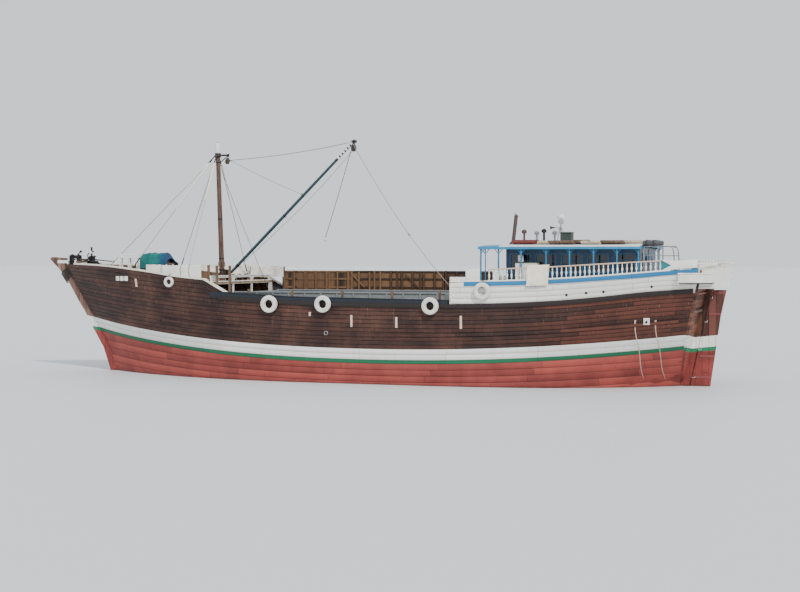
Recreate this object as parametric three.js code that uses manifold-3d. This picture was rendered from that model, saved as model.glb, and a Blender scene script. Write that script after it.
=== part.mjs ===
// A timber motor dhow: a planked cargo hull with a raked stem, a heart-shaped transom, an open hold,
// a covered poop and one mast that carries a derrick boom.
// Millimetres. +X is forward, +Y is to port, +Z is up, and the origin is amidships on the waterline.

import * as THREE from "three";
import { mergeVertices } from "three/addons/utils/BufferGeometryUtils.js";
import Module from "manifold-3d";

const wasm = await Module();
wasm.setup();

const GAP = 0.3;
const RUNNING = 0.5;
const PIN_SIDES = 24;
const DEGREE = Math.PI / 180;

// Driving dimensions

const KEEL_BOTTOM = -2700;
const RABBET = -2350;
const RABBET_HALF = 175;
const KEEL_HALF = 180;
const BODY_FORE = 2500;
const BODY_AFT = -1000;

const STEM_FOOT = 14600;
const TRANSOM = { x: -14950, rake: -0.24, thickness: 120, foot: 350, head: 5850 };
const RUDDER_AXIS = { x: -15500, rake: -0.215 };
const POST_SETBACK = 80;
const GUDGEONS = [-1900, -700, 500, 1900, 3300, 4500];
const GUDGEON = { radius: 72, half: 60, bore: 34, pin: 33 };
const RUDDER = { foot: -2500, head: 4840, half: 60, forward: 45 };

const DECK = { main: 3800, planking: 80 };
const BREAK_X = 9300;
const BREAK = { footX: 8200, footZ: 4600, headX: 9500, headZ: 5260 };
const WALE = { below: 20, above: 200, proud: 60, bite: 60, aft: -15900, fore: 8600 };
const POOP_BREAK_X = -4200;
const STERN_X = -17050;
const STERN_FLOOR = 4960;
const LATRINE = { aft: -17040, fore: -15400, low: 5250, high: 5830, out: 3900, seat: 2.2 };
const FOREDECK = { aft: 5150, fore: 5350, end: 19000, planking: 100 };
const POOP_DECK = 4800;
const SIDE_WALL = 160;
const WAIST_WALL = 200;
const BULKHEAD = 90;
const ARCH = { half: 330, sill: 4100, spring: 4600, rise: 200, spread: 3240 };

const HOLD = { aft: -3200, fore: 8200, half: 2700, floor: -1200, coaming: 130, coamingTop: 4600 };
const HOLD_BOARDS = { aft: -3950, fore: 8600, top: 5630, thickness: 50, bays: 9 };
const ENGINE_ROOM = { aft: -11500, fore: -6500, half: 1000, floor: -1700 };
const ENGINE = { aft: -10850, fore: -8450, half: 500, top: -200 };

const PROPELLER = { x: -14650, z: -1400, radius: 720, pitch: 1000, hub: 115, length: 300 };
const APERTURE = { fore: -14330, high: -480, post: 130 };
const SHAFT = { radius: 55, bore: 75 };

const MAST = { x: 10500, foot: 5183.3, lean: 2, top: 12860, radius: 150, headRadius: 120, band: 12150 };
const SLEW = { x: 10100, z: 5620, pin: 36 };
const LUFF = { x: 9960, z: 5620, pin: 28 };
const BOOM = { tipX: 2580, tipZ: 12770, radius: 80, tipRadius: 62, fork: 300, blockDrop: 330 };

const CANOPY = { aft: -13450, fore: -5300, half: 3200, top: 7120, depth: 150, camber: 100 };
const POSTS = { y: 3080, half: 40 };
const CANOPY_POSTS = [-5380, -5620, -6300, -7470, -8750, -9940, -11140, -12300, -13360];
const EXHAUST = { x: -6240, top: 8680, radius: 90 };
const RADAR = { x: -8800, yard: 8250, head: 8500 };
const LOCKER = { aft: -9500, fore: -8980, inner: 300, outer: 850, top: 7720 };
const RAFT = { aft: -14300, fore: -13480, inner: 1100, outer: 2850, seat: 7040, top: 7300, pipe: 28 };
const CABIN = { aft: -13300, fore: -6500, half: 2350, wall: 80, sill: 5750, head: 6620 };
const DOOR = { hinge: -1066, width: 720, head: 6650, thickness: 40 };
const HINGE_HEIGHTS = [5150, 6350];
const HELM = { x: -7000, z: 5950, radius: 340, tube: 22, spindle: 25 };

const WINDLASS = { x: 17000, radius: 170, half: 700, spindle: 50, height: 420 };
const WINCH = { aft: 18350, fore: 18950, half: 340, x: 18600, axle: 650, drum: 150, wheel: 300 };
const STORES = { aft: 13150, fore: 14800, inner: 600, outer: 1700, shoulder: 6150, top: 6600, step: 180 };
const BITT = { half: 85, height: 720, bar: 45, barLow: 360, barHigh: 480, reach: 200 };
const SCREEN = { aft: 9750, fore: 13450, top: 6050, outer: 60, inner: 95 };
const TYRE = { tube: 0.13, stand: 62, ringSides: 16, tubeSides: 7 };

// Curves through a few named points

function smoothCurve(points) {
  const secants = points.slice(1).map((point, i) => (point[1] - points[i][1]) / (point[0] - points[i][0]));
  const slopes = points.map((point, i) => {
    if (i === 0) return secants[0];
    if (i === points.length - 1) return secants[i - 1];
    const [before, after] = [secants[i - 1], secants[i]];
    return before * after <= 0 ? 0 : (2 * before * after) / (before + after);
  });
  return (at) => {
    const last = points.length - 1;
    if (at <= points[0][0]) return points[0][1] + slopes[0] * (at - points[0][0]);
    if (at >= points[last][0]) return points[last][1] + slopes[last] * (at - points[last][0]);
    const i = points.findIndex((point, k) => k < last && at <= points[k + 1][0]);
    const width = points[i + 1][0] - points[i][0];
    const t = (at - points[i][0]) / width;
    const ease = t * t * (3 - 2 * t);
    const bend = slopes[i] * t * (1 - t) ** 2 - slopes[i + 1] * t * t * (1 - t);
    return points[i][1] * (1 - ease) + points[i + 1][1] * ease + width * bend;
  };
}

const mix = (a, b, t) => a + (b - a) * t;
const steps = (count) => Array.from({ length: count + 1 }, (_, i) => i / count);
const clamp01 = (t) => Math.min(1, Math.max(0, t));

// Heights along the ship, as x, z

const railTop = smoothCurve([[9500, 5260], [11100, 5390], [13900, 5720], [17100, 5980], [19700, 6060]]);
const waistTop = smoothCurve([[-4100, 4290], [1700, 4360], [3900, 4390], [6000, 4490], [8300, 4600]]);
const poopSideTop = smoothCurve([
  [-17050, 5990], [-14600, 5780], [-11600, 5530], [-10000, 5420], [-7300, 5290], [-4200, 5230],
]);
const bulwarkTop = (x) => {
  const share = (x - BREAK.footX) / (BREAK.headX - BREAK.footX);
  return share > 0 ? mix(BREAK.footZ, BREAK.headZ, share) : waistTop(x);
};
const sheer = smoothCurve([
  [-17000, 4800], [-14000, 4600], [-11600, 4330], [-9200, 4120], [-6000, 3970], [-4000, 3940], [2000, 3980],
  [6000, 4120], [9300, 4300],
]);
const balustradeTop = smoothCurve([[-14600, 6340], [-11600, 6170], [-9000, 6020], [-6100, 5900]]);
const paintFoot = (x) => 1080 + 0.0036e-3 * x * x;
const paintHead = (x) => paintFoot(x) + 740;
const foredeckTop = (x) => mix(FOREDECK.aft, FOREDECK.fore, (x - BREAK_X) / (FOREDECK.end - BREAK_X));

// The hull's waterlines, from the rabbet up. half is the greatest half-breadth, bow the x of the fore end,
// entry and run the fullness fore and aft, and stern the half-breadth that is left at the transom.
const WATERLINES = [
  { z: -2350, half: 900, bow: 14700, entry: 1.3, stern: 175, run: 1.3 },
  { z: -1800, half: 3300, bow: 15900, entry: 1.7, stern: 175, run: 1.7 },
  { z: -900, half: 4150, bow: 16620, entry: 2.0, stern: 180, run: 2.3 },
  { z: 0, half: 4400, bow: 17080, entry: 2.3, stern: 200, run: 2.95 },
  { z: 1300, half: 4540, bow: 17530, entry: 2.4, stern: 1500, run: 2.8 },
  { z: 2800, half: 4620, bow: 18430, entry: 2.5, stern: 2550, run: 2.5 },
  { z: 4300, half: 4650, bow: 19360, entry: 2.6, stern: 3050, run: 2.3 },
  { z: 6200, half: 4660, bow: 20580, entry: 2.7, stern: 3400, run: 2.2 },
];
const curveOf = (key) => smoothCurve(WATERLINES.map((row) => [row.z, row[key]]));
const SHAPE = ["half", "bow", "entry", "stern", "run"];
const waterline = Object.fromEntries(SHAPE.map((key) => [key, curveOf(key)]));
const transomX = (z) => TRANSOM.x + TRANSOM.rake * z;
const transomBack = (z) => transomX(z) - TRANSOM.thickness * Math.hypot(TRANSOM.rake, 1) - 3 * GAP;
const rudderAxisX = (z) => RUDDER_AXIS.x + RUDDER_AXIS.rake * z;
const axisPoint = (z) => [rudderAxisX(z), 0, z];
const bowX = (z) => waterline.bow(z);

function halfBreadth(x, z) {
  const half = waterline.half(z);
  if (x > BODY_FORE) {
    const share = clamp01((bowX(z) - x) / (bowX(z) - BODY_FORE));
    return mix(RABBET_HALF, half, 1 - (1 - share) ** waterline.entry(z));
  }
  const share = clamp01((BODY_AFT - x) / (BODY_AFT - transomX(z)));
  return mix(half, waterline.stern(z), share ** waterline.run(z));
}

const SIDES = [["port", 1], ["starboard", -1]];

// Solids

function welded(geometry) {
  const bare = geometry.clone();
  bare.deleteAttribute("normal");
  bare.deleteAttribute("uv");
  return mergeVertices(bare, 0.01);
}

function toManifold(geometry) {
  const merged = welded(geometry);
  return new wasm.Manifold(
    new wasm.Mesh({
      numProp: 3,
      vertProperties: new Float32Array(merged.attributes.position.array),
      triVerts: new Uint32Array(merged.index.array),
    }),
  );
}

function fromManifold(manifold) {
  const mesh = manifold.getMesh();
  const geometry = new THREE.BufferGeometry();
  geometry.setAttribute("position", new THREE.BufferAttribute(new Float32Array(mesh.vertProperties), 3));
  geometry.setIndex(new THREE.BufferAttribute(new Uint32Array(mesh.triVerts), 1));
  return geometry;
}

const join = (...geometries) =>
  fromManifold(geometries.map(toManifold).reduce((whole, next) => whole.add(next)));
const cut = (geometry, ...tools) =>
  fromManifold(tools.map(toManifold).reduce((whole, next) => whole.subtract(next), toManifold(geometry)));

const clip = (geometry, region) => fromManifold(toManifold(geometry).intersect(toManifold(region)));

function box([x0, x1], [y0, y1], [z0, z1]) {
  const geometry = new THREE.BoxGeometry(x1 - x0, y1 - y0, z1 - z0);
  return geometry.translate((x0 + x1) / 2, (y0 + y1) / 2, (z0 + z1) / 2);
}

function rod(from, to, radius, endRadius = radius, sides = 12) {
  const [a, b] = [new THREE.Vector3(...from), new THREE.Vector3(...to)];
  const along = b.clone().sub(a);
  const geometry = welded(new THREE.CylinderGeometry(endRadius, radius, along.length(), sides));
  const upright = new THREE.Vector3(0, 1, 0);
  const turn = new THREE.Quaternion().setFromUnitVectors(upright, along.clone().normalize());
  geometry.applyQuaternion(turn);
  return geometry.translate(...a.add(b).multiplyScalar(0.5).toArray());
}

// A tool for a round hole: the flats of its many sides stand at the radius, so that a pin turns in it.
const bore = (from, to, radius, sides = PIN_SIDES) =>
  rod(from, to, radius / Math.cos(Math.PI / sides), undefined, sides);
const pin = (from, to, radius) => rod(from, to, radius, radius, PIN_SIDES);

// A flat outline in x and z, made thick across the ship between y0 and y1.
function profileXZ(points, y0, y1) {
  const shape = new THREE.Shape(points.map(([x, z]) => new THREE.Vector2(x, z)));
  const geometry = new THREE.ExtrudeGeometry(shape, { depth: y1 - y0, bevelEnabled: false });
  return geometry.rotateX(90 * DEGREE).translate(0, y1, 0);
}

// A flat outline in x and y, made thick upwards between z0 and z1.
function planXY(points, z0, z1) {
  const shape = new THREE.Shape(points.map(([x, y]) => new THREE.Vector2(x, y)));
  return new THREE.ExtrudeGeometry(shape, { depth: z1 - z0, bevelEnabled: false }).translate(0, 0, z0);
}

// A flat outline in y and z, made thick along the ship between x0 and x1.
function profileYZ(points, x0, x1) {
  const shape = new THREE.Shape(points.map(([y, z]) => new THREE.Vector2(y, z)));
  const geometry = new THREE.ExtrudeGeometry(shape, { depth: x1 - x0, bevelEnabled: false });
  return geometry.applyMatrix4(new THREE.Matrix4().set(0, 0, 1, x0, 1, 0, 0, 0, 0, 1, 0, 0, 0, 0, 0, 1));
}

// A closed skin over rings of like length. A ring runs out along one side and back along the other, so its
// first point faces its last, and the two ends of the loft are closed by rungs between them.
function loft(rings) {
  const positions = [];
  const quad = (a, b, c, d) => positions.push(...a, ...b, ...c, ...a, ...c, ...d);
  const size = rings[0].length;
  for (let i = 0; i < rings.length - 1; i += 1) {
    for (let k = 0; k < size; k += 1) {
      const next = (k + 1) % size;
      quad(rings[i][k], rings[i + 1][k], rings[i + 1][next], rings[i][next]);
    }
  }
  const [first, last] = [rings[0], rings[rings.length - 1]];
  for (let k = 0; k < size / 2 - 1; k += 1) {
    quad(first[k], first[k + 1], first[size - 2 - k], first[size - 1 - k]);
    quad(last[k], last[size - 1 - k], last[size - 2 - k], last[k + 1]);
  }
  return outward(positions);
}

// Turns a closed triangle list so that its faces point out.
function outward(positions) {
  let volume = 0;
  for (let i = 0; i < positions.length; i += 9) {
    const [a, b, c] = [0, 3, 6].map((k) => new THREE.Vector3(...positions.slice(i + k, i + k + 3)));
    volume += a.dot(b.cross(c));
  }
  const ordered = volume < 0 ? swapFaces(positions) : positions;
  const geometry = new THREE.BufferGeometry();
  geometry.setAttribute("position", new THREE.Float32BufferAttribute(ordered, 3));
  return geometry;
}

function swapFaces(positions) {
  const swapped = [];
  for (let i = 0; i < positions.length; i += 9) {
    const [a, b, c] = [0, 3, 6].map((k) => positions.slice(i + k, i + k + 3));
    swapped.push(...a, ...c, ...b);
  }
  return swapped;
}

// The point of the hull's surface at share u along a stretch and share v between two heights along the ship.
function hullPoint(stretch, u, v) {
  let x = mix(stretch.aft(0), stretch.fore(0), u);
  let z = 0;
  for (let turn = 0; turn < 6; turn += 1) {
    z = mix(stretch.low(x), stretch.high(x), v);
    x = mix(stretch.aft(z), stretch.fore(z), u);
  }
  return [x, halfBreadth(x, z), z];
}

// A solid slice of the hull, from side to side, grown outwards by a small clearance where one is given.
function hullSlice(stretch, grown = 0) {
  const rows = steps(stretch.rows);
  const rings = steps(stretch.columns).map((u) => {
    const port = rows.map((v) => hullPoint(stretch, u, v)).map(([x, y, z]) => [x, y + grown, z]);
    const starboard = port.map(([x, y, z]) => [x, -y, z]).reverse();
    return [...port, ...starboard];
  });
  return loft(rings);
}

// A wall that follows one side of the hull, side is 1 to port and -1 to starboard.
function hullWall(stretch, side, thickness) {
  const rows = steps(stretch.rows);
  const rings = steps(stretch.columns).map((u) => {
    const outer = rows.map((v) => hullPoint(stretch, u, v));
    const inner = outer.map(([x, y, z]) => [x, y - Math.min(thickness, 0.6 * y), z]).reverse();
    return [...outer, ...inner].map(([x, y, z]) => [x, side * y, z]);
  });
  return loft(rings);
}

// Cuts a deck or a bulkhead to fit between the two walls of a stretch.
const between = (geometry, stretch, thickness) =>
  cut(geometry, ...SIDES.map(([, side]) => hullWall(stretch, side, thickness + GAP)));

// A deck from side to side, whose edges lie within the walls that it is then cut to.
function deckPlate(aft, fore, low, high, columns) {
  const edge = steps(columns).map((u) => {
    const x = mix(aft, fore, u);
    return [x, halfBreadth(x, low(x)) - 40];
  });
  const rings = edge.map(([x, y]) => [[x, y, low(x)], [x, y, high(x)], [x, -y, high(x)], [x, -y, low(x)]]);
  return loft(rings);
}

// The assembly

const FINISHES = {
  planking: [0x5b3b2c, 0.85, 0],
  tan_timber: [0x9a7350, 0.8, 0],
  bottom_paint: [0x8c4038, 0.8, 0],
  stripe_paint: [0xdfe2dc, 0.7, 0],
  white_paint: [0xdedcd2, 0.65, 0],
  rail_paint: [0x3b4a58, 0.7, 0],
  deck_timber: [0x8a7558, 0.85, 0],
  hold_timber: [0x6a4a36, 0.85, 0],
  cabin_paint: [0x2f5f7c, 0.6, 0],
  canopy_paint: [0xcfd8da, 0.6, 0],
  mast_timber: [0x6d4a35, 0.7, 0],
  boom_paint: [0x2e4654, 0.5, 0.2],
  steel: [0x4b4b4a, 0.55, 0.8],
  bronze: [0x9b7a3c, 0.4, 0.9],
  wire: [0xcfcfc8, 0.6, 0.1],
};

const finishes = Object.fromEntries(
  Object.entries(FINISHES).map(([name, [color, roughness, metalness]]) => [
    name,
    new THREE.MeshStandardMaterial({ name, color, roughness, metalness }),
  ]),
);

const dhow = new THREE.Group();

function add(name, finish, geometry) {
  const flat = geometry.index ? geometry.toNonIndexed() : geometry.clone();
  flat.computeVertexNormals();
  const mesh = new THREE.Mesh(flat, finishes[finish]);
  mesh.name = name;
  dhow.add(mesh);
}

// Stretches of the side above the main deck

const BASE = DECK.main + GAP;
const FORECASTLE = {
  aft: () => BREAK_X - 100, fore: bowX, low: () => BASE, high: railTop, rows: 4, columns: 14,
};
const WAIST = {
  aft: () => POOP_BREAK_X + GAP, fore: () => BREAK_X - 100 - GAP, low: () => BASE, high: bulwarkTop,
  rows: 1, columns: 12,
};
const POOP = {
  aft: transomX, fore: () => POOP_BREAK_X, low: () => BASE, high: poopSideTop, rows: 4, columns: 14,
};

// Tyre fenders on the port side, as x, centre height, outer diameter and the rail that carries each one.
const CAP = { depth: 90, out: 40, inward: 60 };
const TYRES = [
  { on: "cap_rail", x: 11720, z: 5150, across: 560, rail: (x) => railTop(x) + CAP.depth },
  { on: "waist", x: 5510, z: 4050, across: 900, rail: waistTop },
  { on: "waist", x: 2500, z: 4080, across: 870, rail: waistTop },
  { on: "waist", x: -3260, z: 4040, across: 870, rail: waistTop },
  { on: "poop", x: -5920, z: 4800, across: 860, rail: poopSideTop },
];

// The tyres on one rail, each on a strap that is nailed over the rail's top.
function tyresOn(carrier, side) {
  const carried = TYRES.filter(({ on }) => on === carrier && side > 0);
  return carried.map(({ x, z, across, rail }) => {
    const tube = TYRE.tube * across;
    const top = rail(x) - 10;
    const face = halfBreadth(x, Math.max(z + across / 2, top)) + TYRE.stand;
    const ring = new THREE.TorusGeometry(across / 2 - tube, tube, TYRE.tubeSides, TYRE.ringSides);
    ring.rotateX(90 * DEGREE);
    const low = Math.min(top - 60, z + across / 2 - tube);
    const strap = profileYZ(
      [
        [face, low], [face + 70, low], [face + 70, top + 40], [face - 110, top + 40], [face - 110, top - 40],
        [face, top - 40],
      ],
      x - 25, x + 25,
    );
    return join(ring.translate(x, face + tube + 2, z), strap);
  });
}

// Backbone

function backbone() {
  const keelRun = [rudderAxisX(RABBET) + POST_SETBACK, STEM_FOOT - GAP];
  add("keel", "bottom_paint", box(keelRun, [-KEEL_HALF, KEEL_HALF], [KEEL_BOTTOM, RABBET - GAP]));

  const stemFore = [
    [STEM_FOOT, KEEL_BOTTOM], [15600, -2450], [16450, -1800], [17050, -950], [17480, 0], [17940, 1310],
    [18530, 2280], [19180, 3420], [19580, 4000], [20240, 5100], [20770, 5730], [21440, 6370], [21350, 6480],
    [20480, 6420],
  ];
  const stretches = [...hullBands(), FORECASTLE];
  const edge = stretches.flatMap((stretch) => steps(stretch.rows).map((v) => hullPoint(stretch, 1, v)));
  const aftEdge = edge.map(([x, , z]) => [x + GAP, z]).reverse();
  const stemOutline = [...stemFore, ...aftEdge, [STEM_FOOT, RABBET - GAP]];
  add("stem", "tan_timber", profileXZ(stemOutline, -KEEL_HALF, KEEL_HALF));

  const postHead = STERN_FLOOR - GAP;
  const notch = TRANSOM.foot - 40;
  const aftFace = (z) => rudderAxisX(z) + POST_SETBACK;
  const post = profileXZ(
    [
      [aftFace(postHead), postHead], [transomBack(postHead), postHead],
      [transomBack(notch), notch], [transomX(notch) - 2 * GAP, notch],
      [transomX(APERTURE.high) - 2 * GAP, APERTURE.high],
      [aftFace(APERTURE.high) + APERTURE.post, APERTURE.high],
      [aftFace(RABBET) + APERTURE.post, RABBET], [aftFace(RABBET), RABBET],
    ],
    -150, 150,
  );
  const gudgeons = GUDGEONS.flatMap((z) => [
    rod(axisPoint(z - GUDGEON.half), axisPoint(z + GUDGEON.half), GUDGEON.radius),
    box([rudderAxisX(z), rudderAxisX(z) + 140], [-50, 50], [z - 40, z + 40]),
  ]);
  const bores = GUDGEONS.map((z) => bore(axisPoint(z - 90), axisPoint(z + 90), GUDGEON.bore, 12));
  add("sternpost", "planking", cut(join(post, ...gudgeons), ...bores));
}

// Hull

function hullBands() {
  const ends = { aft: transomX, fore: bowX, columns: 30 };
  return [
    { ...ends, low: () => RABBET, high: (x) => paintFoot(x) - GAP, rows: 7 },
    { ...ends, low: paintFoot, high: (x) => paintHead(x) - GAP, rows: 1 },
    { ...ends, low: paintHead, high: () => DECK.main, rows: 3 },
  ];
}

function hull() {
  const [bottom, painted, topside] = hullBands().map(hullSlice);
  const hold = box([HOLD.aft, HOLD.fore], [-HOLD.half, HOLD.half], [HOLD.floor, 7000]);
  const engineRoom = box(
    [ENGINE_ROOM.aft, ENGINE_ROOM.fore], [-ENGINE_ROOM.half, ENGINE_ROOM.half], [ENGINE_ROOM.floor, 7000],
  );
  const aperture = box([-15600, APERTURE.fore], [-900, 900], [RABBET - 10, APERTURE.high]);
  const tunnelEnds = [APERTURE.fore - 100, ENGINE_ROOM.aft + 100].map((x) => [x, 0, PROPELLER.z]);
  const tunnel = rod(...tunnelEnds, SHAFT.bore);
  add("hull_bottom", "bottom_paint", cut(bottom, hold, engineRoom, aperture, tunnel));
  add("hull_painted_strakes", "stripe_paint", cut(painted, hold, engineRoom));
  add("hull_topsides", "planking", cut(topside, hold, engineRoom));

  const slope = Math.hypot(TRANSOM.rake, 1);
  const heights = steps(12).map((t) => mix(TRANSOM.foot, TRANSOM.head, t));
  const outline = heights.map((z) => [halfBreadth(transomX(z), z), z * slope]);
  const mirrored = outline.map(([y, z]) => [-y, z]).reverse();
  const shape = new THREE.Shape([...outline, ...mirrored].map(([y, z]) => new THREE.Vector2(y, z)));
  const slab = new THREE.ExtrudeGeometry(shape, { depth: TRANSOM.thickness, bevelEnabled: false });
  const across = new THREE.Vector3(0, 1, 0);
  const up = new THREE.Vector3(TRANSOM.rake, 0, 1).divideScalar(slope);
  const forward = new THREE.Vector3(1, 0, -TRANSOM.rake).divideScalar(slope);
  const seat = new THREE.Vector3(TRANSOM.x - GAP, 0, 0).addScaledVector(forward, -TRANSOM.thickness);
  slab.applyMatrix4(new THREE.Matrix4().makeBasis(across, up, forward).setPosition(seat));
  add("transom", "planking", slab);
}

// Decks and sides

function decks() {
  const planks = deckPlate(
    POOP_BREAK_X + 110, BREAK_X - 110, () => DECK.main + GAP, () => DECK.main + DECK.planking, 12,
  );
  const hatch = box([HOLD.aft, HOLD.fore], [-HOLD.half, HOLD.half], [3000, 5000]);
  add("main_deck", "deck_timber", cut(between(planks, WAIST, WAIST_WALL), hatch));

  const coamingFoot = DECK.main + DECK.planking + GAP;
  const outer = box(
    [HOLD.aft - HOLD.coaming, HOLD.fore + HOLD.coaming],
    [-HOLD.half - HOLD.coaming, HOLD.half + HOLD.coaming],
    [coamingFoot, HOLD.coamingTop],
  );
  add("hatch_coaming", "rail_paint", cut(outer, hatch));

  const foredeckFoot = (x) => foredeckTop(x) - FOREDECK.planking;
  const foredeck = deckPlate(BREAK_X - 100, FOREDECK.end, foredeckFoot, foredeckTop, 12);
  add("foredeck", "deck_timber", between(foredeck, FORECASTLE, SIDE_WALL));

  const poopFoot = POOP_DECK - FOREDECK.planking;
  const poop = deckPlate(transomX(poopFoot) + GAP, POOP_BREAK_X, () => poopFoot, () => POOP_DECK, 14);
  add("poop_deck", "deck_timber", between(poop, POOP, SIDE_WALL));
}

// A wall across the ship at x, up to a deck's underside.
function bulkhead(x, top, stretch) {
  const rows = steps(4).map((t) => mix(BASE, top, t));
  const face = rows.map((z) => [halfBreadth(x, z) - 40, z]);
  const ring = [...face, ...face.map(([y, z]) => [-y, z]).reverse()];
  const slab = loft([x, x + BULKHEAD].map((at) => ring.map(([y, z]) => [at, y, z])));
  return between(slab, stretch, SIDE_WALL);
}

function bulkheads() {
  const { half, sill, spring, rise, spread } = ARCH;
  const arches = steps(6).map((t) => {
    const middle = mix(-spread, spread, t);
    const arc = steps(6).map((turn) => [
      middle + half * Math.cos(turn * Math.PI), spring + rise * Math.sin(turn * Math.PI),
    ]);
    return profileYZ([[middle - half, sill], [middle + half, sill], ...arc], BREAK_X - 200, BREAK_X + 200);
  });
  const forecastleTop = FOREDECK.aft - FOREDECK.planking - GAP;
  add("forecastle_bulkhead", "white_paint", cut(bulkhead(BREAK_X, forecastleTop, FORECASTLE), ...arches));
  const poopTop = POOP_DECK - FOREDECK.planking - GAP;
  add("poop_bulkhead", "white_paint", bulkhead(POOP_BREAK_X - BULKHEAD - 20, poopTop, POOP));
}

// The rubbing strake along one stretch of the side.
function wale(stretch, side, aft, fore) {
  const run = {
    aft, fore, carrier: ridge(stretch), at: sheer,
    low: (x) => sheer(x) - WALE.below, high: (x) => sheer(x) + WALE.above,
  };
  return sideStrip(run, side, -WALE.proud, WALE.bite);
}

// Lashing posts that stand against the port bulwark, as x and the height of the head.
const RAIL_POSTS = [
  [8850, 6020], [8050, 6020], [6900, 4780], [4400, 4780], [1600, 4780], [-1100, 4780], [-3600, 4780],
];

function railPosts(side) {
  const foot = DECK.main + DECK.planking + GAP;
  return RAIL_POSTS.filter(() => side > 0).map(([x, head]) => {
    const y = halfBreadth(x, waistTop(x));
    return box([x - 55, x + 55], [y - WAIST_WALL - 110, y - WAIST_WALL + 50], [foot, head]);
  });
}

// Boards that step up from the break of the poop to the rail, as aft end, fore end and height of the top.
const STEPPED_BOARDS = [[-5740, -5019, 5890], [-5020, -4202, 5490]];

function steppedBoards(side) {
  const carrier = ridge(POOP);
  return STEPPED_BOARDS.map(([aft, fore, top]) => {
    const run = { aft, fore, carrier, at: poopSideTop, low: (x) => carrier.height(x) - 30, high: () => top };
    return sideStrip(run, side, 20, 60);
  });
}

function sides() {
  for (const [name, side] of SIDES) {
    add(`forecastle_side_${name}`, "planking", hullWall(FORECASTLE, side, SIDE_WALL));
    const waistWall = join(hullWall(WAIST, side, WAIST_WALL), wale(WAIST, side, WAIST.aft(), WALE.fore));
    const onWaist = [...railPosts(side), ...tyresOn("waist", side)];
    add(`waist_bulwark_${name}`, "rail_paint", join(waistWall, ...onWaist));
    const poopWall = join(hullWall(POOP, side, SIDE_WALL), wale(POOP, side, WALE.aft, POOP_BREAK_X));
    const onPoop = [...steppedBoards(side), ...tyresOn("poop", side)];
    add(`poop_side_${name}`, "white_paint", join(poopWall, ...onPoop));
  }
}

// The faceted top edge of a wall: where its columns stand, and its height between them.
function ridge(stretch) {
  const points = steps(stretch.columns).map((u) => hullPoint(stretch, u, 1));
  const height = (x) => {
    const i = Math.max(1, points.findIndex((point) => point[0] >= x));
    const [from, to] = [points[i - 1], points[i]];
    return mix(from[2], to[2], (x - from[0]) / (to[0] - from[0]));
  };
  return { columns: points.map((point) => point[0]), height };
}

// A strip along one side of the ship, between two distances inboard of a hull line and two heights. It bends
// where the wall that carries it bends.
function sideStrip({ aft, fore, carrier, at, low, high }, side, outer, inner) {
  const bends = carrier.columns.filter((x) => x > aft && x < fore);
  const rings = [aft, ...bends, fore].map((x) => {
    const y = halfBreadth(x, at(x));
    return [
      [x, y - outer, low(x)], [x, y - outer, high(x)], [x, y - inner, high(x)], [x, y - inner, low(x)],
    ].map(([px, py, pz]) => [px, side * py, pz]);
  });
  return loft(rings);
}

function capRail(side) {
  const rings = steps(FORECASTLE.columns).slice(0, -1).map((u) => {
    const [x, y, z] = hullPoint(FORECASTLE, u, 1);
    const [outer, inner] = [y + CAP.out, y - Math.min(SIDE_WALL + CAP.inward, 0.6 * y)];
    const [low, high] = [z + GAP, z + CAP.depth];
    return [[x, outer, low], [x, outer, high], [x, inner, high], [x, inner, low]].map(
      ([px, py, pz]) => [px, side * py, pz],
    );
  });
  return loft(rings);
}

function balustrade(side) {
  const carrier = ridge(POOP);
  const run = { aft: -14560, fore: -6140, carrier, at: poopSideTop };
  const handRail = { ...run, low: (x) => balustradeTop(x) - 70, high: balustradeTop };
  const topRail = sideStrip(handRail, side, 20, 130);
  const footRail = sideStrip(
    { ...run, low: (x) => carrier.height(x) + GAP, high: (x) => carrier.height(x) + 60 }, side, 30, 120,
  );
  const count = 38;
  const balusters = steps(count - 1).map((u) => {
    const x = mix(run.aft + 60, run.fore - 60, u);
    const y = side * (halfBreadth(x, poopSideTop(x)) - 75);
    return rod([x, y, poopSideTop(x) + 30], [x, y, balustradeTop(x) - 40], 30, 30, 6);
  });
  return join(topRail, footRail, ...balusters);
}

function holdBoards() {
  const { aft, fore, bays, thickness } = HOLD_BOARDS;
  const run = { aft, fore, carrier: ridge(WAIST), at: () => DECK.main };
  const foot = DECK.main + DECK.planking + GAP;
  const upright = { ...run, low: () => foot, high: () => HOLD_BOARDS.top };
  const boards = sideStrip(upright, -1, WAIST_WALL + 30, WAIST_WALL + 30 + thickness);
  const stanchions = steps(bays).map((u) => {
    const x = mix(run.aft + 100, run.fore - 100, u);
    const y = -(halfBreadth(x, DECK.main) - WAIST_WALL - 110);
    return box([x - 45, x + 45], [y - 45, y + 45], [foot, HOLD_BOARDS.top + 70]);
  });
  return join(boards, ...stanchions);
}

const GALLERY = {
  aft: () => STERN_X, fore: transomBack, low: () => STERN_FLOOR, high: () => 6150, rows: 4, columns: 2,
};

function sternGallery() {
  const shell = hullSlice(GALLERY, -30);
  const floor = box([STERN_X, transomBack(STERN_FLOOR + 80)], [-3600, 3600], [STERN_FLOOR, STERN_FLOOR + 80]);
  const aftWall = box([STERN_X, STERN_X + 80], [-3600, 3600], [STERN_FLOOR, 5950]);
  return join(
    ...SIDES.map(([, side]) => hullWall(GALLERY, side, 90)), clip(floor, shell), clip(aftWall, shell),
  );
}

function quarterPanel(side) {
  const carrier = ridge(POOP);
  const run = { aft: -16250, fore: -14540, carrier, at: poopSideTop };
  return sideStrip({ ...run, low: (x) => carrier.height(x) + GAP, high: () => 6340 }, side, 20, 110);
}

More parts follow.
